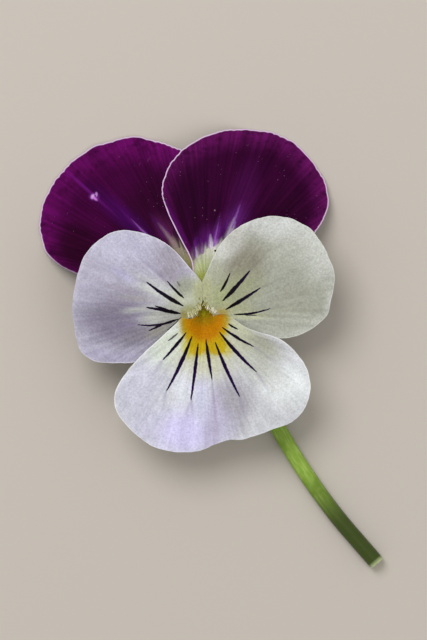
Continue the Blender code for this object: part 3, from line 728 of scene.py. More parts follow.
lowerPetal["look"] = {
    "ground": (206, 208, 210),
    "shade": (194, 195, 200),
    "light": (220, 222, 226),
    "perTurn": 170,
    "stretch": 0.09,
    "roughness": 0.6,
    "specular": 0.06,
    "sheen": (0.05, (236, 236, 244)),
    "edge": (0.16, (242, 242, 238), 0.8),
    "edgeGaps": [
        (5.6, -2.2, 4.6, 1.8, -26, 0.3, 0.0, None, 0.8),
        (2.0, -17.4, 13.0, 6.4, 8, 0.3, 0.0, None, 0.75),
    ],
    "mottle": 0.6,
    "grain": 0.85,
    "veins": 0.4,
    "swell": 0.35,
    "rim": (1.0, (216, 217, 222), 0.5),
    "back": (202, 206, 196),
    "spots": [
        (-2.4, -16.2, 4.2, 3.0, 0, 0.7, 0.4, (216, 210, 246), 0.95),
        (-7.8, -15.2, 2.4, 2.2, 30, 0.8, 0.3, (194, 191, 211), 0.75),
        (-9.0, -11.0, 3.4, 4.2, -20, 0.7, 0.3, (199, 199, 213), 0.85),
        (-7.0, -8.0, 2.0, 2.6, -30, 0.8, 0.4, (206, 204, 220), 0.4),
        # painted shade in the groove of the fold
        (1.9, -14.2, 1.6, 4.2, -8, 0.6, 0.5, (190, 181, 207), 0.85),
        (-0.3, -11.3, 1.3, 3.6, 0, 0.8, 0.5, (210, 210, 232), 0.8),
        # painted shade where the petal slopes away beyond the fold
        (4.6, -12.2, 2.1, 3.4, 20, 0.7, 0.5, (164, 161, 167), 0.9),
        (3.2, -15.6, 1.6, 2.2, -6, 0.7, 0.4, (190, 186, 206), 0.7),
        # painted light on the right margin, which faces the light
        (11.6, -10.2, 3.4, 2.8, 20, 0.7, 0.3, (234, 238, 236), 1.0),
        (-2.4, -9.4, 1.4, 3.4, -10, 0.7, 0.3, (222, 224, 232), 0.7),
        (8.6, -14.4, 2.6, 2.0, 20, 0.7, 0.3, (208, 209, 212), 0.6),
        # painted shade, greenish grey: the petal slopes down here toward the side petal and the claw
        (7.2, -4.2, 3.4, 1.5, -26, 0.65, 0.3, (158, 158, 138), 0.95),
        (7.0, -6.6, 3.6, 2.0, -36, 0.8, 0.3, (182, 185, 170), 0.8),
        (-4.6, -4.4, 3.0, 2.6, 40, 0.7, 0.3, (206, 214, 196), 0.9),
        (4.6, -1.7, 1.9, 1.0, -30, 0.8, 0.2, (184, 187, 154), 0.9),
        (4.6, -4.0, 1.9, 1.5, -35, 0.8, 0.3, (188, 190, 160), 0.7),
        (0.4, -6.6, 3.6, 2.2, 0, 0.7, 0.6, (198, 198, 166), 0.85),
        (0.2, -1.6, 3.45, 4.6, 0, 0.22, 0.35, (182, 180, 104), 0.85),
        (-2.0, -5.1, 0.8, 1.2, 10, 0.6, 0.5, (192, 184, 72), 0.85),
        (3.0, -4.8, 0.9, 1.2, 30, 0.6, 0.5, (188, 176, 62), 0.85),
        (-0.9, -4.6, 1.15, 1.3, 0, 0.2, 0.4, (186, 162, 18), 0.95),
        (1.9, -4.5, 1.2, 1.4, 10, 0.2, 0.4, (186, 160, 14), 0.95),
        (0.25, -1.6, 3.05, 4.0, 0, 0.14, 0.26, (184, 154, 8), 1.0),
        (-2.5, -1.7, 0.55, 1.3, 12, 0.9, 0.0, (156, 124, 6), 0.75),
        (3.0, -1.0, 0.6, 0.9, -30, 0.9, 0.0, (162, 148, 52), 0.8),
        (0.3, -1.1, 2.6, 2.9, 0, 0.24, 0.3, (182, 118, 0), 1.0),
        # painted shade: darker olive and orange down in the throat's pit
        (0.1, -0.8, 1.5, 0.9, 0, 0.8, 0.0, (154, 124, 10), 0.9),
        (0.05, 0.4, 1.3, 0.95, 0, 0.5, 0.0, (132, 122, 20), 0.95),
    ],
    "belly": 0.42,
    "marks": [
        (3.4, -1.55, 4.75, -2.35, 0.09, -0.06, 1.0), (2.5, -2.0, 6.9, -4.7, 0.14, -0.14, 1.0),
        (2.15, -2.6, 7.3, -8.15, 0.18, -0.19, 1.0), (1.6, -3.95, 5.0, -11.5, 0.17, -0.14, 1.0),
        (0.38, -3.6, 1.25, -9.2, 0.16, -0.03, 1.0), (-0.65, -4.15, -1.65, -12.0, 0.16, 0.05, 1.0),
        (-1.45, -3.15, -4.95, -10.7, 0.19, 0.19, 1.0), (-2.2, -2.7, -5.45, -6.5, 0.15, 0.07, 1.0),
        (-3.35, -2.85, -4.75, -3.95, 0.08, 0.0, 0.85),
    ],
    "faintMarks": [
        (-5.3, -6.3, -7.6, -9.4, 0.13, 0.1, 0.8), (-4.9, -10.4, -5.6, -13.6, 0.12, 0.0, 0.8),
        (-1.6, -11.6, -1.2, -16.0, 0.13, 0.0, 0.8), (-1.6, -11.8, -2.6, -14.8, 0.1, 0.0, 0.6),
        (1.2, -9.0, 2.2, -17.4, 0.12, -0.1, 0.8), (4.9, -11.2, 5.9, -15.4, 0.12, 0.0, 0.6),
        (7.0, -7.8, 9.7, -12.8, 0.12, 0.2, 0.6), (6.8, -4.6, 8.4, -5.9, 0.1, 0.0, 0.9),
        (8.4, -5.9, 12.6, -9.0, 0.1, 0.2, 0.5),
    ],
}


whiskerShape = {
    "noiseScale": 2.3,
    "ragged": 0.2,
    "fullness": 1.5,  # width of the ramp against the half width asked for
    "feather": 0.05,
    "tipFade": 0.22,
}


def whiskerGroup():  # one tapered line, ragged along its sides; a soft one also fades outwards
    given = newGroup("whisker", "ShaderNodeTree", {
        "Point": "Vector", "From": "Vector", "To": "Vector", "Half Width": "Float", "Bow": "Float",
        "Soft": "Float", "Belly": "Float",
    }, {"Mask": "Float"})
    point, start, soft, belly = (given[name] for name in ("Point", "From", "Soft", "Belly"))
    away = flatAway(point, start)
    along = vectorCalc("SUBTRACT", given["To"], start)
    length = vectorCalc("LENGTH", along)
    part = vectorCalc("DOT_PRODUCT", away, along) / length / length
    offLine = separate(vectorCalc("CROSS_PRODUCT", along, away))[2] / length
    sag = part * (1.0 - part) * 4.0
    ragged = (noiseAt(point, whiskerShape["noiseScale"], 4.0, 0.6) - 0.5) * whiskerShape["ragged"]
    offLine = calc("ABSOLUTE", offLine - sag * given["Bow"] + ragged)
    share = addNode(part.tree, "ShaderNodeClamp", {"Value": part})
    opening = calc("MINIMUM", share / belly, 1.0) ** 0.6
    closing = calc("MINIMUM", (1.0 - share) / (1.0 - belly), 1.0) ** 0.5
    taper = opening * closing
    width = taper * given["Half Width"] * whiskerShape["fullness"]
    outside = width * (soft + 1.0) + whiskerShape["feather"]
    core = width * (0.8 - soft * 0.8)
    mask = softStep(offLine, outside, core) * softStep(taper, 0.0, whiskerShape["tipFade"])
    addNode(mask.tree, "NodeGroupOutput", {0: mask * (1.0 - soft * share)})
    return mask.tree


whisker = whiskerGroup()


def drawMarks(point, marks, soft, belly=0.2):  # all the lines of one colour as one mask
    mask = None
    for x0, y0, x1, y1, halfWidth, bow, strength in marks:
        inputs = {"Point": point, "From": (x0, y0, 0.0), "To": (x1, y1, 0.0), "Half Width": halfWidth,
                  "Bow": bow, "Soft": soft, "Belly": belly}
        line = addNode(point.tree, "ShaderNodeGroup", inputs, node_tree=whisker) * strength
        mask = line if mask is None else calc("MAXIMUM", mask, line)
    return mask


def softSpot(point, streaks, spot):  # an oval, turned by tilt degrees, with a soft or ragged edge
    x, y, wide, high, tilt, edge, ragged, _, strength = spot
    turn = math.radians(tilt)
    away = vectorCalc("SUBTRACT", point, (x, y, 0.0))
    along = vectorCalc("DOT_PRODUCT", away, (math.cos(turn) / wide, math.sin(turn) / wide, 0.0))
    across = vectorCalc("DOT_PRODUCT", away, (-math.sin(turn) / high, math.cos(turn) / high, 0.0))
    reach = vectorCalc("LENGTH", combine(along, across))
    if ragged:
        reach = reach + (streaks - 0.5) * ragged
    return softStep(reach, 1.0 + edge, 1.0 - edge) * strength


def petalFinish(petal):
    look = petal["look"]
    material, shader = newFinish(petal["node"] + "Finish", look["roughness"], look["specular"])
    point = flowerPoint(material)
    away = flatAway(point, (*petal["veinCentre"], 0.0))
    angle, reach = angleOf(away), vectorCalc("LENGTH", away)
    fine = streaksAlong(angle, reach, look["perTurn"], look["stretch"], petal["seed"])
    broad = streaksAlong(angle, reach, look["perTurn"] * 0.25, look["stretch"] * 1.6, petal["seed"] + 20)
    mottle = noiseAt(point, 0.8, 4.0, 0.6)
    grain = noiseAt(point, 3.6, 3.0, 0.7)
    margin = attribute(material, "margin")
    width, tint, strength = look["rim"]
    rim = softStep(margin, width, 0.1) * strength * softStep(mottle, 0.2, 0.55)
    base = mixColour(rim, look["ground"], tint)
    for spot in look["spots"]:
        base = mixColour(softSpot(point, fine, spot), base, spot[7])
    for tint, soft, marks in look.get("strokes", []):
        base = mixColour(drawMarks(point, marks, soft), base, tint)
    for spot in look.get("specks", []):
        base = mixColour(softSpot(point, fine, spot), base, spot[7])
    veins = mixColour(softStep(fine, 0.34, 0.68), look["shade"], look["light"])
    swell = mixColour(softStep(broad, 0.3, 0.72), look["shade"], look["light"])
    for layer, strength in ((veins, look["veins"]), (swell, look["swell"])):
        base = mixColour(strength, base, mixColour(1.0, layer, look["ground"], "DIVIDE"), "MULTIPLY")
    speckle = (1.0 - look["grain"] / 2) + grain * look["grain"]
    cloud = (1.0 - look["mottle"] * 0.25) + mottle * (look["mottle"] * 0.5)
    tone = speckle * cloud
    base = vectorCalc("MULTIPLY", base, combine(tone, tone, tone))
    fromThroat = vectorCalc("LENGTH", flatAway(point, paint["throat"]))
    if "faintMarks" in look:
        faint = drawMarks(point, look["faintMarks"], 0.95) * 0.55
        base = mixColour(faint, base, look.get("faintTint", paint["faintPigment"]))
        near, far, start, stop = paint["pigment"]
        pigment = mixColour(softStep(fromThroat, start, stop), near, far)
        base = mixColour(drawMarks(point, look["marks"], 0.0, look["belly"]), base, pigment)
    # A pale line along the margin: partly the petal's own pale edge, partly painted highlight where the
    # curled margin catches the light.
    width, tint, strength = look["edge"]
    line = softStep(margin, width, width * 0.3) * softStep(fromThroat, *look.get("edgeFrom", (3.6, 6.0)))
    for gap in look.get("edgeGaps", []):  # where the pale edge fades
        line = line * (1.0 - softSpot(point, fine, gap))
    base = mixColour(line * strength, base, tint)
    back = mixColour(softStep(fine, 0.45, 0.7), look["back"], look["shade"])
    weight, tint = look["sheen"]
    shader.inputs["Sheen Weight"].default_value = weight
    shader.inputs["Sheen Tint"].default_value = colour(*tint)
    shader.inputs["Sheen Roughness"].default_value = 0.4
    tone = mixColour(attribute(material, "upperFace"), back, base)
    closeFinish(shader, tone, fine * 0.6 + grain * 0.4, 0.4, 0.00015)
    return material


# Petal shapes

def petalRibTree():  # veins and soft folds that run out from the claw
    given = newTree("petalRibs", {
        "Centre": "Vector", "Rib Height": "Float", "Ribs Per Turn": "Float", "Fold Height": "Float",
        "Folds Per Turn": "Float", "Seed": "Float",
    })
    tree = given["Geometry"].tree
    away = vectorCalc("SUBTRACT", addNode(tree, "GeometryNodeInputPosition"), given["Centre"])
    turn = angleOf(away) / (2 * math.pi)
    distance = vectorCalc("LENGTH", away) * (1 / mm)
    reach = namedAttribute(tree, "reach")
    lifts = []
    for kind, perTurn, stretch, low in (("Rib", "Ribs", 0.1, 0.15), ("Fold", "Folds", 0.06, 0.3)):
        place = combine(turn * given[perTurn + " Per Turn"], distance * stretch, given["Seed"])
        wave = noiseAt(place, 1.0, 1.0, 0.4) - 0.5
        lifts.append(wave * softStep(reach, low, low + 0.35) * given[kind + " Height"] * 2.0)
    inputs = {"Geometry": given["Geometry"], "Offset": combine(0.0, 0.0, lifts[0] + lifts[1])}
    return closeTree(addNode(tree, "GeometryNodeSetPosition", inputs), given)


def outlinePoints(petal, count):  # closer together near the eye than at the far margin
    path = curveThrough(petal["outline"], 24, closed=True)
    ring = np.vstack([path, path[:1]])
    reach = np.linalg.norm(ring - np.array(petal["eye"]), axis=1)
    spacing = 0.3 + 0.7 * reach[:-1] / reach.max()
    steps = np.linalg.norm(np.diff(ring, axis=0), axis=1)
    along = np.concatenate([[0.0], np.cumsum(steps / spacing)])
    wanted = np.linspace(0.0, along[-1], count, endpoint=False)
    return np.column_stack([np.interp(wanted, along, ring[:, axis]) for axis in (0, 1)])


def toothedOutline(petal, outline):  # small rounded teeth, cut inwards from the outline
    eye = np.array(petal["eye"])
    depth, count = petal["teeth"]
    reach = np.linalg.norm(outline - eye, axis=1)
    turn = aroundTurn(len(outline))
    seed = petal["seed"]
    phase = count * turn / 2 + 2.2 * np.sin(5 * turn + seed) + 1.1 * np.sin(13 * turn + 2 * seed)
    tooth = 1.0 - np.abs(np.sin(phase)) ** 0.55
    uneven = 0.55 + 0.45 * np.sin(9 * turn + 3 * seed) * np.sin(4 * turn + seed)
    cut = depth * (tooth * uneven + 0.5 * (0.5 + 0.5 * np.sin(31 * turn + seed)))
    cut = cut * smoothRamp(*bloom["edgeStart"], reach / reach.max())
    return eye + (outline - eye) * (1.0 - cut / reach)[:, None]


def bladeGrid(petal):  # rings of points from the eye out to the margin
    eye = np.array(petal["eye"])
    columns, rows = bloom["columns"], bloom["rows"]
    outline = outlinePoints(petal, columns)
    spread = np.linalg.norm(outline - eye, axis=1)
    grow = bloom["grow"] * smoothRamp(*bloom["edgeStart"], spread / spread.max())
    outline = toothedOutline(petal, outline + (outline - eye) * (grow / spread)[:, None])
    away = outline - eye
    reach = np.linalg.norm(away, axis=1)
    tangent = np.roll(outline, -1, axis=0) - np.roll(outline, 1, axis=0)
    facing = np.abs(tangent[:, 0] * away[:, 1] - tangent[:, 1] * away[:, 0])
    facing /= np.linalg.norm(tangent, axis=1) * reach
    depth, waves, phase = petal["wave"]
    turn = aroundTurn(columns)
    wave = depth * np.sin(waves * turn + phase + 0.8 * np.sin(3 * turn))
    far = smoothRamp(0.35, 0.8, reach / reach.max())
    widest = bloom["edgeRows"][0]
    edges = [np.minimum(distance, 0.3 * reach * (distance / widest)) for distance in bloom["edgeRows"]]
    inner = 1.0 - edges[0] / reach
    shares = [inner * (1.0 - (1.0 - row / rows) ** 1.2) for row in range(1, rows + 1)]
    shares += [1.0 - edge / reach for edge in edges[1:]]
    points = [np.array([[*eye, petal["height"](*eye)]])]
    margins, reaches = [[reach.min()]], [[0.0]]
    for share in shares:
        ring = eye + share[:, None] * away
        height = petal["height"](ring[:, 0], ring[:, 1]) + wave * far * share**3
        points.append(np.column_stack([ring, height]))
        margins.append((1.0 - share) * reach * facing)
        reaches.append(share * far)
    points = np.vstack(points)
    points[:, 2] = np.maximum(points[:, 2], bloom["thickness"] / 2)
    faces = [(0, 1 + column, 1 + (column + 1) % columns) for column in range(columns)]
    faces += gridFaces(len(shares), columns, closed=True, first=1, turned=True)
    return points, faces, {"margin": np.concatenate(margins), "reach": np.concatenate(reaches)}


def clawTube(petal):  # the petal's narrow foot, down to the disc
    angle = math.radians(petal["clawAzimuth"])
    x = bloom["discCentre"][0] + bloom["clawRing"] * math.cos(angle)
    y = bloom["discCentre"][1] + bloom["clawRing"] * math.sin(angle)
    foot, top = bloom["clawFoot"], float(petal["height"](x, y)) + 0.05
    parts = np.linspace(0.0, 1.0, 12)
    radii = curveThrough(bloom["clawRadii"], 8)
    radii = np.interp(parts, radii[:, 1], radii[:, 0])
    centres = [(x, y, foot + part * (top - foot)) for part in parts]
    points, faces = sweptTube(centres, radii, 24, side=(-math.sin(angle), math.cos(angle), 0.0), flat=0.5)
    points[:, 2] = np.minimum(points[:, 2], petal["height"](points[:, 0], points[:, 1]))
    return points, faces, np.zeros(len(points))


spur = {
    "route": [
        (0.0, -0.35, 7.4), (0.0, -0.5, 6.4), (-0.08, -0.75, 5.2), (-0.2, -1.15, 4.1), (-0.32, -1.6, 3.3),
    ],
    "radius": 1.0,
    "taper": 0.2,
    "tipSteps": (0.2, 0.4, 0.6, 0.75, 0.87, 0.95, 0.99),  # how far out on the round tip each ring is
    "bore": 0.62,
    "solidEnd": 3,  # points of the route that the bore stops short of the tip
    "rimHeight": 7.2,
    "lip": (0.15, -0.75),  # between these the rim rises to meet the blade
    "sides": 48,
    "clearance": 0.3,
}


def spurShell():  # outer wall down to the round tip, then the bore back up to the throat
    route = curveThrough(spur["route"], 8)
    count, bored = len(route), len(route) - spur["solidEnd"]
    outer = spur["radius"] * (1.0 - spur["taper"] * np.linspace(0.0, 1.0, count))
    heading = unit(route[-1] - route[-2])
    steps = np.array(spur["tipSteps"])
    tip = [route[-1] + heading * outer[-1] * step for step in steps]
    centres = np.vstack([route, tip, route[:bored][::-1]])
    radii = np.concatenate([outer, outer[-1] * np.sqrt(1 - steps**2), np.full(bored, spur["bore"])])
    places = [*range(count), *[count - 1] * len(steps), *reversed(range(bored))]
    points = []
    for centre, radius, place in zip(centres, radii, places):
        place = min(place, count - 2)
        points += ringPoints(centre, radius, route[place + 1] - route[place], aroundTurn(spur["sides"]))
    return np.array(points), len(centres), count + len(steps)


def makeSpur():
    points, rings, outerRings = spurShell()
    for index, (x, y, z) in enumerate(points):
        if z > spur["rimHeight"]:
            points[index, 2] = z + (float(lowerHeight(x, y)) - z) * smoothRamp(*spur["lip"], y)
    sides = spur["sides"]
    boreStart, last = outerRings * sides, (rings - 1) * sides
    faces = gridFaces(outerRings, sides, closed=True)
    faces += gridFaces(rings - outerRings, sides, closed=True, first=boreStart)
    faces.append(tuple(range(boreStart - sides, boreStart)))
    faces.append(tuple(reversed(range(boreStart, boreStart + sides))))
    for corner in range(sides):  # the flat ring between the outer wall and the bore
        beside = (corner + 1) % sides
        faces.append((last + corner, last + beside, beside, corner))
    inside = np.ones(len(points))
    inside[sides:boreStart] = 0.0
    return points, faces, inside


ribTree = petalRibTree()


def makePetal(name, petal):
    points, faces, attributes = bladeGrid(petal)
    thing = makeObject(name, points, faces, attributes=attributes)
    material = petalFinish(petal)
    centre = throat + Vector((*petal["veinCentre"], 0.0)) * mm
    centre.z = petal["height"](*petal["eye"]) * mm
    runTree(thing, ribTree, {
        "Centre": centre,
        "Rib Height": petal["ribs"][0] * mm,
        "Ribs Per Turn": float(petal["ribs"][1]),
        "Fold Height": petal["folds"][0] * mm,
        "Folds Per Turn": float(petal["folds"][1]),
        "Seed": float(petal["seed"]),
        "Material": material,
    })
    addThickness(thing, bloom["thickness"])
    settle(thing)
    points, faces = meshArrays(thing.data)
    points[:, 2] = np.maximum(points[:, 2], 0.0)
    margin = readValues(thing.data.attributes["margin"].data, "value", 1)[:, 0]
    upperFace = (readValues(thing.data.vertices, "normal", 3)[:, 2] > 0.0).astype(float)
    bpy.data.meshes.remove(thing.data)  # its object goes with it
    footPoints, footFaces, inside = makeSpur() if petal["clawAzimuth"] is None else clawTube(petal)
    faces += [tuple(index + len(points) for index in face) for face in footFaces]
    thing = makeObject(name, np.vstack([points, footPoints]), faces, attributes={
        "margin": np.concatenate([margin, np.full(len(footPoints), bloom["footMargin"])]),
        "upperFace": np.concatenate([upperFace, inside]),
    })
    finishPiece(thing, petal["node"], material)


makePetal("upperLeftPetal", upperLeftPetal)
makePetal("upperRightPetal", upperRightPetal)
makePetal("sideLeftPetal", sideLeftPetal)
makePetal("sideRightPetal", sideRightPetal)
makePetal("lowerPetal", lowerPetal)


# Beards: club-shaped hairs on the throat edge of the side petals

def scattered(given, shape, density, sizes, sizeSeed, turned=None):  # copies strewn over the faces
    inputs = {"Mesh": given["Geometry"], "Density": density, "Seed": given["Seed"]}
    spots = addNode(shape.tree, "GeometryNodeDistributePointsOnFaces", inputs, "Points")
    inputs = {2: sizes[0], 3: sizes[1], 8: sizeSeed}
    size = addNode(shape.tree, "FunctionNodeRandomValue", inputs, 1, data_type="FLOAT")
    inputs = {"Points": spots, "Instance": shape, "Scale": size, **(turned or {})}
    return closeTree(addNode(shape.tree, "GeometryNodeInstanceOnPoints", inputs), given)


beards = {
    "left": {
        "petal": sideLeftPetal,
        "edge": [(-0.36, 1.35), (-0.6, 0.98), (-0.88, 0.6), (-1.15, 0.22), (-1.55, -0.05), (-2.05, -0.1)],
        "inward": (-0.4, 0.9),
        "lean": (0.04, -0.99, 0.12),
        "length": 0.86,
        "seed": 3,
    },
    "right": {
        "petal": sideRightPetal,
        "edge": [(0.15, 1.5), (0.6, 1.12), (0.98, 0.76), (1.35, 0.4), (1.75, 0.0), (2.15, -0.4)],
        "inward": (0.6, 0.8),
        "lean": (-0.6, -0.78, 0.12),
        "length": 0.74,
        "seed": 8,
    },
    "rows": 5,
    "depth": 0.36,
    "sunk": 0.05,
    "radius": 0.022,
    "density": 80.0,  # hairs per square millimetre
    "sizes": (0.65, 1.2),
    "jitter": ((-0.16, -0.12, -0.08), (0.16, 0.12, 0.12)),
}


def beardTree():
    given = newTree("beardHairs", {
        "Length": "Float", "Radius": "Float", "Density": "Float", "Lean": "Vector", "Seed": "Int",
    })
    tree, length = given["Geometry"].tree, given["Length"]
    line = addNode(tree, "GeometryNodeCurvePrimitiveLine", {"End": combine(0.0, 0.0, length)})
    line = addNode(tree, "GeometryNodeResampleCurve", {"Curve": line, "Count": 6})
    along = addNode(tree, "GeometryNodeSplineParameter", output="Factor")
    bend = along**2.0 * (length * 0.22)
    bent = addNode(tree, "GeometryNodeSetPosition", {"Geometry": line, "Offset": combine(bend)})
    club = (0.75 + softStep(along, 0.35, 0.75) * 0.4) * softStep(along, 1.15, 0.85)
    hair = curveToMesh(bent, {"Resolution": 6, "Radius": given["Radius"]}, club)
    low, high = beards["jitter"]
    inputs = {0: low, 1: high, 8: given["Seed"]}
    jitter = addNode(tree, "FunctionNodeRandomValue", inputs, data_type="FLOAT_VECTOR")
    heading = vectorCalc("ADD", given["Lean"], jitter)
    turned = addNode(tree, "FunctionNodeAlignRotationToVector", {"Vector": heading}, axis="Z")
    return scattered(given, hair, given["Density"], beards["sizes"], 7, {"Rotation": turned})


def beardFinish():
    material, shader = newFinish("beardFinish", 0.45, 0.35)
    point = flowerPoint(material)
    patches = softStep(noiseAt(point, 2.2), 0.4, 0.62)
    across, up, _ = separate(point)
    leftTone = mixColour(patches, (232, 226, 188), (194, 194, 142))
    rightTone = mixColour(patches, (252, 248, 230), (204, 202, 158))
    tone = mixColour(softStep(across, -0.5, 0.4), leftTone, rightTone)
    # painted shade: the hairs turn darker olive toward the back of the throat
    tone = mixColour(softStep(up, 0.5, 1.2) * 0.85, tone, (172, 168, 98))
    closeFinish(shader, tone, noiseAt(point, 20.0), 0.2, 0.00003)
    return material


def makeBeard(name, beard, tree, material):
    petal, rows = beard["petal"], beards["rows"]
    edge = curveThrough(beard["edge"], 5)
    inward = unit(beard["inward"])
    points = []
    for row in range(rows):
        for spot in edge + inward * beards["depth"] * row / (rows - 1):
            height = float(petal["height"](*spot)) + bloom["thickness"] / 2 - beards["sunk"]
            points.append([*spot, height])
    thing = makeObject(name, points, gridFaces(rows, len(edge)))
    runTree(thing, tree, {
        "Length": beard["length"] * mm,
        "Radius": beards["radius"] * mm,
        "Density": beards["density"] / mm**2,
        "Lean": Vector(beard["lean"]),
        "Seed": beard["seed"],
        "Material": material,
    })
    settle(thing)
    finishPiece(thing, petal["node"], material)


hairTree, hairFinish = beardTree(), beardFinish()
makeBeard("leftBeard", beards["left"], hairTree, hairFinish)
makeBeard("rightBeard", beards["right"], hairTree, hairFinish)


# Pollen caught on the upper petals

pollen = {
    "radius": 0.032,
    "perSquareMm": 1.0,
    "sizes": (0.45, 1.3),
    "inset": 0.93,
    "rows": 14,
    "firstRow": 4,
    "columns": 60,
}


def pollenTree():
    given = newTree("pollenGrains", {"Radius": "Float", "Density": "Float", "Seed": "Int"})
    tree = given["Geometry"].tree
    clusters = softStep(noiseAt(addNode(tree, "GeometryNodeInputPosition"), 260.0, 1.0), 0.42, 0.68)
    grain = addNode(tree, "GeometryNodeMeshIcoSphere", {"Radius": given["Radius"], "Subdivisions": 2})
    return scattered(given, grain, given["Density"] * clusters, pollen["sizes"], 5)


def pollenFinish():
    material, shader = newFinish("pollenFinish", 0.6, 0.2)
    tone = mixColour(noiseAt(flowerPoint(material), 1.5), (150, 104, 140), (176, 150, 136))
    feed(shader.inputs["Base Color"], tone)
    return material


def makePollen(name, petal, tree, material):
    rows, first, columns = pollen["rows"], pollen["firstRow"], pollen["columns"]
    outline = outlinePoints(petal, columns)
    eye = np.array(petal["eye"])
    points = []
    for row in range(1, rows + 1):
        ring = eye + (outline - eye) * pollen["inset"] * row / rows
        height = petal["height"](ring[:, 0], ring[:, 1]) + bloom["thickness"] / 2
        points.append(np.column_stack([ring, height]))
    faces = gridFaces(rows - first, columns, closed=True, first=first * columns, turned=True)
    thing = makeObject(name, np.vstack(points), faces)
    runTree(thing, tree, {
        "Radius": pollen["radius"] * mm,
        "Density": pollen["perSquareMm"] / mm**2,
        "Seed": petal["seed"],
        "Material": material,
    })
    settle(thing)
    finishPiece(thing, petal["node"], material)


grainTree, grainFinish = pollenTree(), pollenFinish()
makePollen("leftPollen", upperLeftPetal, grainTree, grainFinish)
makePollen("rightPollen", upperRightPetal, grainTree, grainFinish)


# Stalk, swept along its centre line

stalk = {
    "radius": 1.1,
    "neckShare": 0.88,  # how wide the neck is against the rest
    "restHeight": 1.0,
    "discTop": 6.4,
    "discRadius": 2.0,
    "discProfile": [(0.8, 0.0), (1.0, -0.3), (0.95, -0.75), (0.6, -1.1)],  # share of the radius, depth
    "discUnder": -1.2,
    "endShares": (1.0, 0.985, 0.95),  # the cut end's edge is a little rounded
    "cutDepth": 0.02,
    "sides": 56,
    "ridges": 7,
    "ridgeShare": 0.018,
    "shadedEnd": (31.5, 41.5),  # millimetres along, where the cut end grows darker
    "shadedTint": ((50, 62, 14), 0.95),
    "route": [
        (0.0, 2.1, 5.0), (0.02, 2.5, 4.1), (0.2, 2.75, 3.0), (0.7, 2.4, 1.9), (1.4, 1.2, 1.15),
        (2.1, -0.6, 1.0), (3.7, -4.2, 1.0), (6.8, -9.9, 1.0), (10.2, -15.8, 1.0),
        (13.6, -21.4, 1.0), (17.9, -27.4, 1.0), (23.66, -34.14, 1.0),
    ],
}


def stalkTree():
    given = newTree("sweptStalk", {"Ridges": "Float", "Ridge Share": "Float", "Sides": "Int"})
    tree = given["Geometry"].tree
    line = addNode(tree, "GeometryNodeMeshToCurve", {"Mesh": given["Geometry"]})
    place = addNode(tree, "GeometryNodeInputPosition")
    ridge = calc("COSINE", angleOf(place) * given["Ridges"]) - 1.0
    scale = 1.0 + ridge * given["Ridge Share"]
    ridged = vectorCalc("MULTIPLY", place, combine(scale, scale, scale))
    circle = {"Resolution": given["Sides"], "Radius": 1.0}
    return closeTree(curveToMesh(line, circle, namedAttribute(tree, "girth"), ridged), given)


def greenFinish(name, ground, dark, light, veinScale):
    material, shader = newFinish(name, 0.5, 0.22)
    point = flowerPoint(material)
    along = attribute(material, "along")
    fibres = noiseAt(combine(attribute(material, "across"), along * 0.12), veinScale, 4.0, 0.6)
    base = mixColour(softStep(fibres, 0.42, 0.66), ground, light)
    base = mixColour(softStep(noiseAt(point, 0.35, 3.0), 0.48, 0.7), base, dark)
    tint, strength = stalk["shadedTint"]
    base = mixColour(softStep(along, *stalk["shadedEnd"]) * strength, base, tint)
    pith = mixColour(softStep(noiseAt(point, 5.0), 0.45, 0.6), (170, 184, 128), (196, 206, 160))
    shader.inputs["Sheen Weight"].default_value = 0.05
    closeFinish(shader, mixColour(attribute(material, "cut"), base, pith), fibres, 0.3, 0.00008)
    return material


def stalkLine():  # centres and radii, from the top of the disc to the cut
    centres = curveThrough(stalk["route"], 14)
    centres[:, 2] = np.maximum(centres[:, 2], stalk["restHeight"])
    neck, wide, top = stalk["neckShare"], stalk["discRadius"], stalk["discTop"]
    share = np.linspace(0.0, 1.0, len(centres))
    radii = stalk["radius"] * (neck + (1.0 - neck) * smoothRamp(0.0, 0.25, share))
    disc = curveThrough([(wide * part, top + depth) for part, depth in stalk["discProfile"]], 5)
    heads = [(*bloom["discCentre"], height) for _, height in disc]
    radii = np.concatenate([disc[:, 0], radii])
    radii[-3:] *= np.array(stalk["endShares"])
    return np.vstack([heads, centres]), radii


def stalkAttributes(points, centres):  # paint runs along and across the surface
    end = np.array(stalk["route"][-1])
    cut = (points - end) @ unit(end - np.array(stalk["route"][-2])) > -stalk["cutDepth"]
    nearest = np.argmin(np.linalg.norm(points[:, None, :] - centres[None, :, :], axis=2), axis=1)
    tangents = np.gradient(centres, axis=0)
    tangents /= np.linalg.norm(tangents, axis=1)[:, None]
    away = points - centres[nearest]
    along = pathLengths(centres)[nearest] + (away * tangents[nearest]).sum(axis=1)
    sideways = np.cross(tangents[nearest], [0.0, 0.0, 1.0])
    across = stalk["radius"] * np.arctan2((away * sideways).sum(axis=1), away[:, 2])
    return {"cut": cut.astype(float), "along": along, "across": across}


def makeStalk():
    centres, radii = stalkLine()
    edges = [(index, index + 1) for index in range(len(centres) - 1)]
    thing = makeObject("stalk", centres, [], edges, {"girth": radii * mm})
    material = greenFinish("stalkFinish", (132, 164, 56), (116, 148, 44), (156, 184, 88), 3.2)
    runTree(thing, stalkTree(), {
        "Ridges": float(stalk["ridges"]),
        "Ridge Share": stalk["ridgeShare"],
        "Sides": stalk["sides"],
        "Material": material,
    })
    settle(thing)
    points, faces = meshArrays(thing.data)
    bpy.data.objects.remove(thing)
    spurSide = spur["route"][1][1] + spur["radius"] + spur["clearance"]
    high = points[:, 2] > stalk["discTop"] + stalk["discUnder"]
    points[:, 1] = np.where(high, np.maximum(points[:, 1], spurSide), points[:, 1])
    points[:, 2] = np.maximum(points[:, 2], 0.0)
    thing = makeObject("stalk", points, faces, attributes=stalkAttributes(points, centres))
    finishPiece(thing, "pedicel", material, sharpAngle=40)


makeStalk()


# Sepals and the stalk's two scale leaves

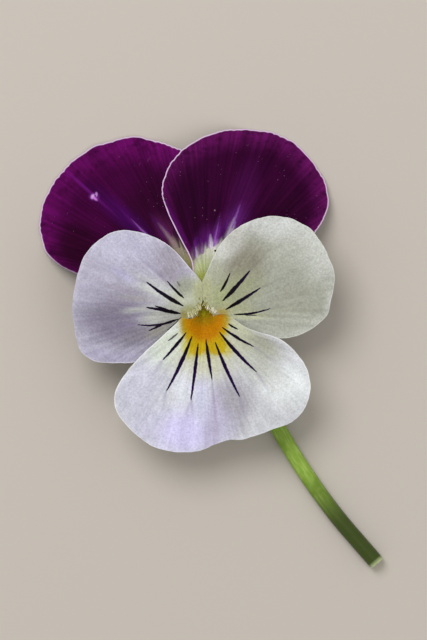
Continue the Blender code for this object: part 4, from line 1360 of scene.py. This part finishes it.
sepals = {
    "places": [(90, -1.5), (162, -0.85), (222, 0.5), (318, 0.5), (18, -0.5)],  # azimuth, rise of the tip
    "seat": 2.6,
    "spine": [  # beyond the seat, height, share of the rise
        (0.4, 4.1, 0.0), (0.1, 4.9, 0.0), (0.0, 5.6, 0.0), (0.4, 6.1, 0.0), (1.4, 6.25, 0.0),
        (3.4, 6.2, 0.35), (6.2, 6.2, 0.8), (9.0, 6.2, 1.0),
    ],
    "width": 2.8,
    "footWidth": 0.45,
    "lobeWidth": 0.75,
    "cup": 0.5,
    "ribDepth": 0.1,
    "ribWidth": 0.07,
    "thickness": 0.42,
    "columns": 13,
}


def bladeSheet(name, points, columns, thickness):
    rows = len(points) // columns
    sheet = np.array(points).reshape(rows, columns, 3)
    middle = sheet[:, columns // 2]
    across = np.linalg.norm(sheet - middle[:, None], axis=2) * np.sign(np.arange(columns) - columns // 2)
    thing = makeObject(name, points, gridFaces(rows, columns, turned=True), attributes={
        "cut": np.zeros(len(points)),
        "along": np.repeat(pathLengths(middle), columns),
        "across": across.ravel(),
    })
    addThickness(thing, thickness)
    smooth = thing.modifiers.new("smooth", "SUBSURF")
    smooth.levels = smooth.render_levels = 1
    settle(thing)
    return thing


def makeSepal(number, azimuth, rise, material):
    angle = math.radians(azimuth)
    outward = np.array([math.cos(angle), math.sin(angle)])
    across = np.array([math.sin(angle), -math.cos(angle)])
    foot, columns = sepals["footWidth"], sepals["columns"]
    spine = [(sepals["seat"] + out, height + rise * share) for out, height, share in sepals["spine"]]
    path = curveThrough(spine, 6)
    points = []
    for place, (distance, height) in enumerate(path):
        share = place / (len(path) - 1)
        blade = math.sin(math.pi * smoothRamp(0.25, 1.06, share)) ** 0.7
        lobe = (1.0 - smoothRamp(0.12, 0.45, share)) * smoothRamp(-0.08, 0.1, share)
        width = foot + (sepals["width"] - foot) * blade + sepals["lobeWidth"] * lobe
        width *= 1.0 - 0.75 * smoothRamp(0.86, 1.0, share)
        for column in range(columns):
            lean = column / (columns - 1) - 0.5
            spot = np.array(bloom["discCentre"]) + outward * distance + across * width * lean
            rib = sepals["ribDepth"] * math.exp(-((lean / sepals["ribWidth"]) ** 2))
            dip = sepals["cup"] * lean**2 + rib * smoothRamp(1.0, 0.8, share)
            points.append([*spot, height - dip])
    thing = bladeSheet(f"sepal{number}", points, columns, sepals["thickness"])
    finishPiece(thing, f"sepal_{number}", material, sharpAngle=80)


bracteoles = {
    "spine": [(0.95, -0.3), (1.75, 0.55), (2.78, 2.47)],  # out from the stalk, along it
    "width": 1.0,
    "baseHeight": 0.85,
    "rise": 0.8,
    "cup": 0.5,
    "thickness": 0.4,
    "columns": 9,
}


def makeBracteole(name, node, place, side, material):  # place is a point of the stalk's route
    end, start = (np.array(point[:2]) for point in stalk["route"][place:place + 2])
    along = unit(end - start)
    outward = side * np.array([-along[1], along[0]])
    spine = [outward * out + along * up for out, up in bracteoles["spine"]]
    path = (start + end) / 2 + curveThrough(spine, 9)
    columns = bracteoles["columns"]
    points = []
    for row, (spot, heading) in enumerate(zip(path, np.gradient(path, axis=0))):
        share = row / (len(path) - 1)
        across = unit([-heading[1], heading[0]])
        spread = bracteoles["width"] * (0.15 + 0.85 * math.sin(math.pi * min(share + 0.05, 1.0)) ** 0.8)
        height = bracteoles["baseHeight"] + bracteoles["rise"] * share
        for column in range(columns):
            lean = column / (columns - 1) - 0.5
            points.append([*(spot + across * spread * lean), height + bracteoles["cup"] * lean**2])
    thing = bladeSheet(name, points, columns, bracteoles["thickness"])
    finishPiece(thing, node, material, sharpAngle=80)


sepalFinish = greenFinish("sepalFinish", (96, 130, 50), (76, 108, 40), (128, 156, 78), 3.0)
for number, (azimuth, rise) in enumerate(sepals["places"], start=1):
    makeSepal(number, azimuth, rise, sepalFinish)
makeBracteole("leftBracteole", "bracteole_left", 6, 1, sepalFinish)
makeBracteole("rightBracteole", "bracteole_right", 7, -1, sepalFinish)


# Stamens and pistil

stamens = {
    "azimuths": [90, 162, 234, 306, 18],
    "ring": 1.04,
    "profile": [(6.7, 0.16), (6.8, 0.18), (6.95, 0.34), (7.3, 0.38), (7.6, 0.28), (7.75, 0.1)],
    "sides": 24,
    "flat": 0.5,
}
pistil = {
    "route": [
        (0.0, 2.05, 6.7), (0.0, 2.05, 7.1), (0.0, 1.98, 7.6), (0.0, 1.75, 7.95), (0.0, 1.35, 8.2),
        (0.0, 0.9, 8.34), (0.0, 0.22, 8.4),
    ],
    "styleRadius": 0.2,
    "ovary": (0.36, 0.13, 0.14),  # how far it swells, where on the route, over what share of it
    "stigma": 0.74,
    "heading": (0.0, -1.0, 0.1),
    "bow": (0.03, -0.28, -0.1),  # the round head nods forward of the style's end
    "squash": 0.46,
    "sides": 32,
}


def partFinish(name, roughness, specular, tones, noiseScale, axis, span, farTone, bumpScale):
    material, shader = newFinish(name, roughness, specular)
    point = flowerPoint(material)
    tone = mixColour(softStep(noiseAt(point, noiseScale, 3.0), 0.4, 0.65), *tones)
    tone = mixColour(softStep(separate(point)[axis], *span), tone, farTone)
    closeFinish(shader, tone, noiseAt(point, bumpScale), 0.3, 0.00005)
    return material


def makeStamen(number, azimuth, material):
    turn = math.radians(azimuth)
    x = bloom["discCentre"][0] + stamens["ring"] * math.cos(turn)
    y = bloom["discCentre"][1] + stamens["ring"] * math.sin(turn)
    rings = curveThrough(stamens["profile"], 5)
    centres = [(x, y, height) for height, _ in rings]
    side = (-math.sin(turn), math.cos(turn), 0.0)
    shape = sweptTube(centres, rings[:, 1], stamens["sides"], side=side, flat=stamens["flat"])
    finishPiece(makeObject(f"stamen{number}", *shape), f"stamen_{number}", material)


def makePistil(material):
    style = curveThrough(pistil["route"], 8)
    swell, middle, width = pistil["ovary"]
    share = np.linspace(0.0, 1.0, len(style))
    radii = pistil["styleRadius"] + swell * np.exp(-(((share - middle) / width) ** 2))
    top = np.array(pistil["route"][-1]) + pistil["bow"]
    ball = np.cos(np.linspace(math.radians(152), math.radians(6), 16))
    head = [top + unit(pistil["heading"]) * pistil["stigma"] * step for step in ball]
    keep = np.linalg.norm(style - top, axis=1) > pistil["stigma"] * 0.95
    radii = np.concatenate([radii[keep], pistil["stigma"] * np.sqrt(1 - ball**2)])
    points, faces = sweptTube(np.vstack([style[keep], head]), radii, pistil["sides"])
    near = np.linalg.norm(points - top, axis=1) < pistil["stigma"] * 1.02
    points[near, 2] = top[2] + (points[near, 2] - top[2]) * pistil["squash"]
    finishPiece(makeObject("pistil1", points, faces), "pistil", material)


antherFinish = partFinish("antherFinish", 0.6, 0.25, ((214, 206, 150), (190, 178, 112)), 6.0,
                          2, (7.35, 7.6), (206, 116, 30), 14.0)
# the stigma is lighter toward the front; its darker back is painted shade at the throat's apex
pistilFinish = partFinish("pistilFinish", 0.75, 0.05, ((136, 132, 34), (142, 138, 36)), 5.0,
                          1, (0.5, -0.3), (158, 150, 20), 12.0)
for number, azimuth in enumerate(stamens["azimuths"], start=1):
    makeStamen(number, azimuth, antherFinish)
makePistil(pistilFinish)


# Floor, light and camera

studio = {
    "floor": (196, 188, 178),
    "floorSize": 3.0,
    "skyStrength": 0.53,
    "key": {"place": (-0.16, 0.24, 0.46), "size": 0.34, "power": 1.62},
    "fill": {"place": (0.3, -0.2, 0.4), "size": 0.5, "power": 0.4},
    "pixelsPerMm": 7.4,
    "imageHeight": 640,
    "middle": (1.42, -1.08),  # the picture's centre, from the throat
    "bloomHeight": 9.0,
    "cameraHeight": 1500.0,
}


def makeFloor():
    half = studio["floorSize"] / 2
    mesh = bpy.data.meshes.new("floor")
    corners = [(-half, -half, 0), (half, -half, 0), (half, half, 0), (-half, half, 0)]
    mesh.from_pydata(corners, [], [(0, 1, 2, 3)])
    floor = bpy.data.objects.new("floor", mesh)
    bpy.context.scene.collection.objects.link(floor)
    material, shader = newFinish("floorFinish", 0.9, 0.1)
    place = addNode(material.node_tree, "ShaderNodeTexCoord", output="Object")
    low = colour(*studio["floor"], 0.97)
    feed(shader.inputs["Base Color"], mixColour(noiseAt(place, 6.0), studio["floor"], low))
    mesh.materials.append(material)


def aimedLight(name, spec):
    light = bpy.data.lights.new(name, "AREA")
    light.shape = "DISK"
    light.size = spec["size"]
    light.energy = spec["power"]
    thing = bpy.data.objects.new(name, light)
    thing.location = spec["place"]
    thing.rotation_euler = (-Vector(spec["place"])).to_track_quat("-Z", "Y").to_euler()
    bpy.context.scene.collection.objects.link(thing)


def makeStudio():
    world = bpy.data.worlds.new("studio")
    bpy.context.scene.world = world
    world.use_nodes = True
    background = world.node_tree.nodes["Background"]
    background.inputs["Color"].default_value = (1.0, 1.0, 1.0, 1.0)
    background.inputs["Strength"].default_value = studio["skyStrength"]
    aimedLight("key", studio["key"])
    aimedLight("fill", studio["fill"])
    camera = bpy.data.objects.new("camera", bpy.data.cameras.new("camera"))
    bpy.context.scene.collection.objects.link(camera)
    x, y = studio["middle"]
    camera.location = throat + Vector((x, y, studio["cameraHeight"])) * mm
    viewHeight = studio["imageHeight"] / studio["pixelsPerMm"]
    distance = studio["cameraHeight"] - studio["bloomHeight"]
    camera.data.lens = camera.data.sensor_width * distance / viewHeight
    camera.data.clip_start = 0.01
    camera.data.clip_end = 20.0
    bpy.context.scene.camera = camera
    bpy.context.scene.view_settings.view_transform = "Standard"


makeFloor()
makeStudio()
print("floor, light and camera made")
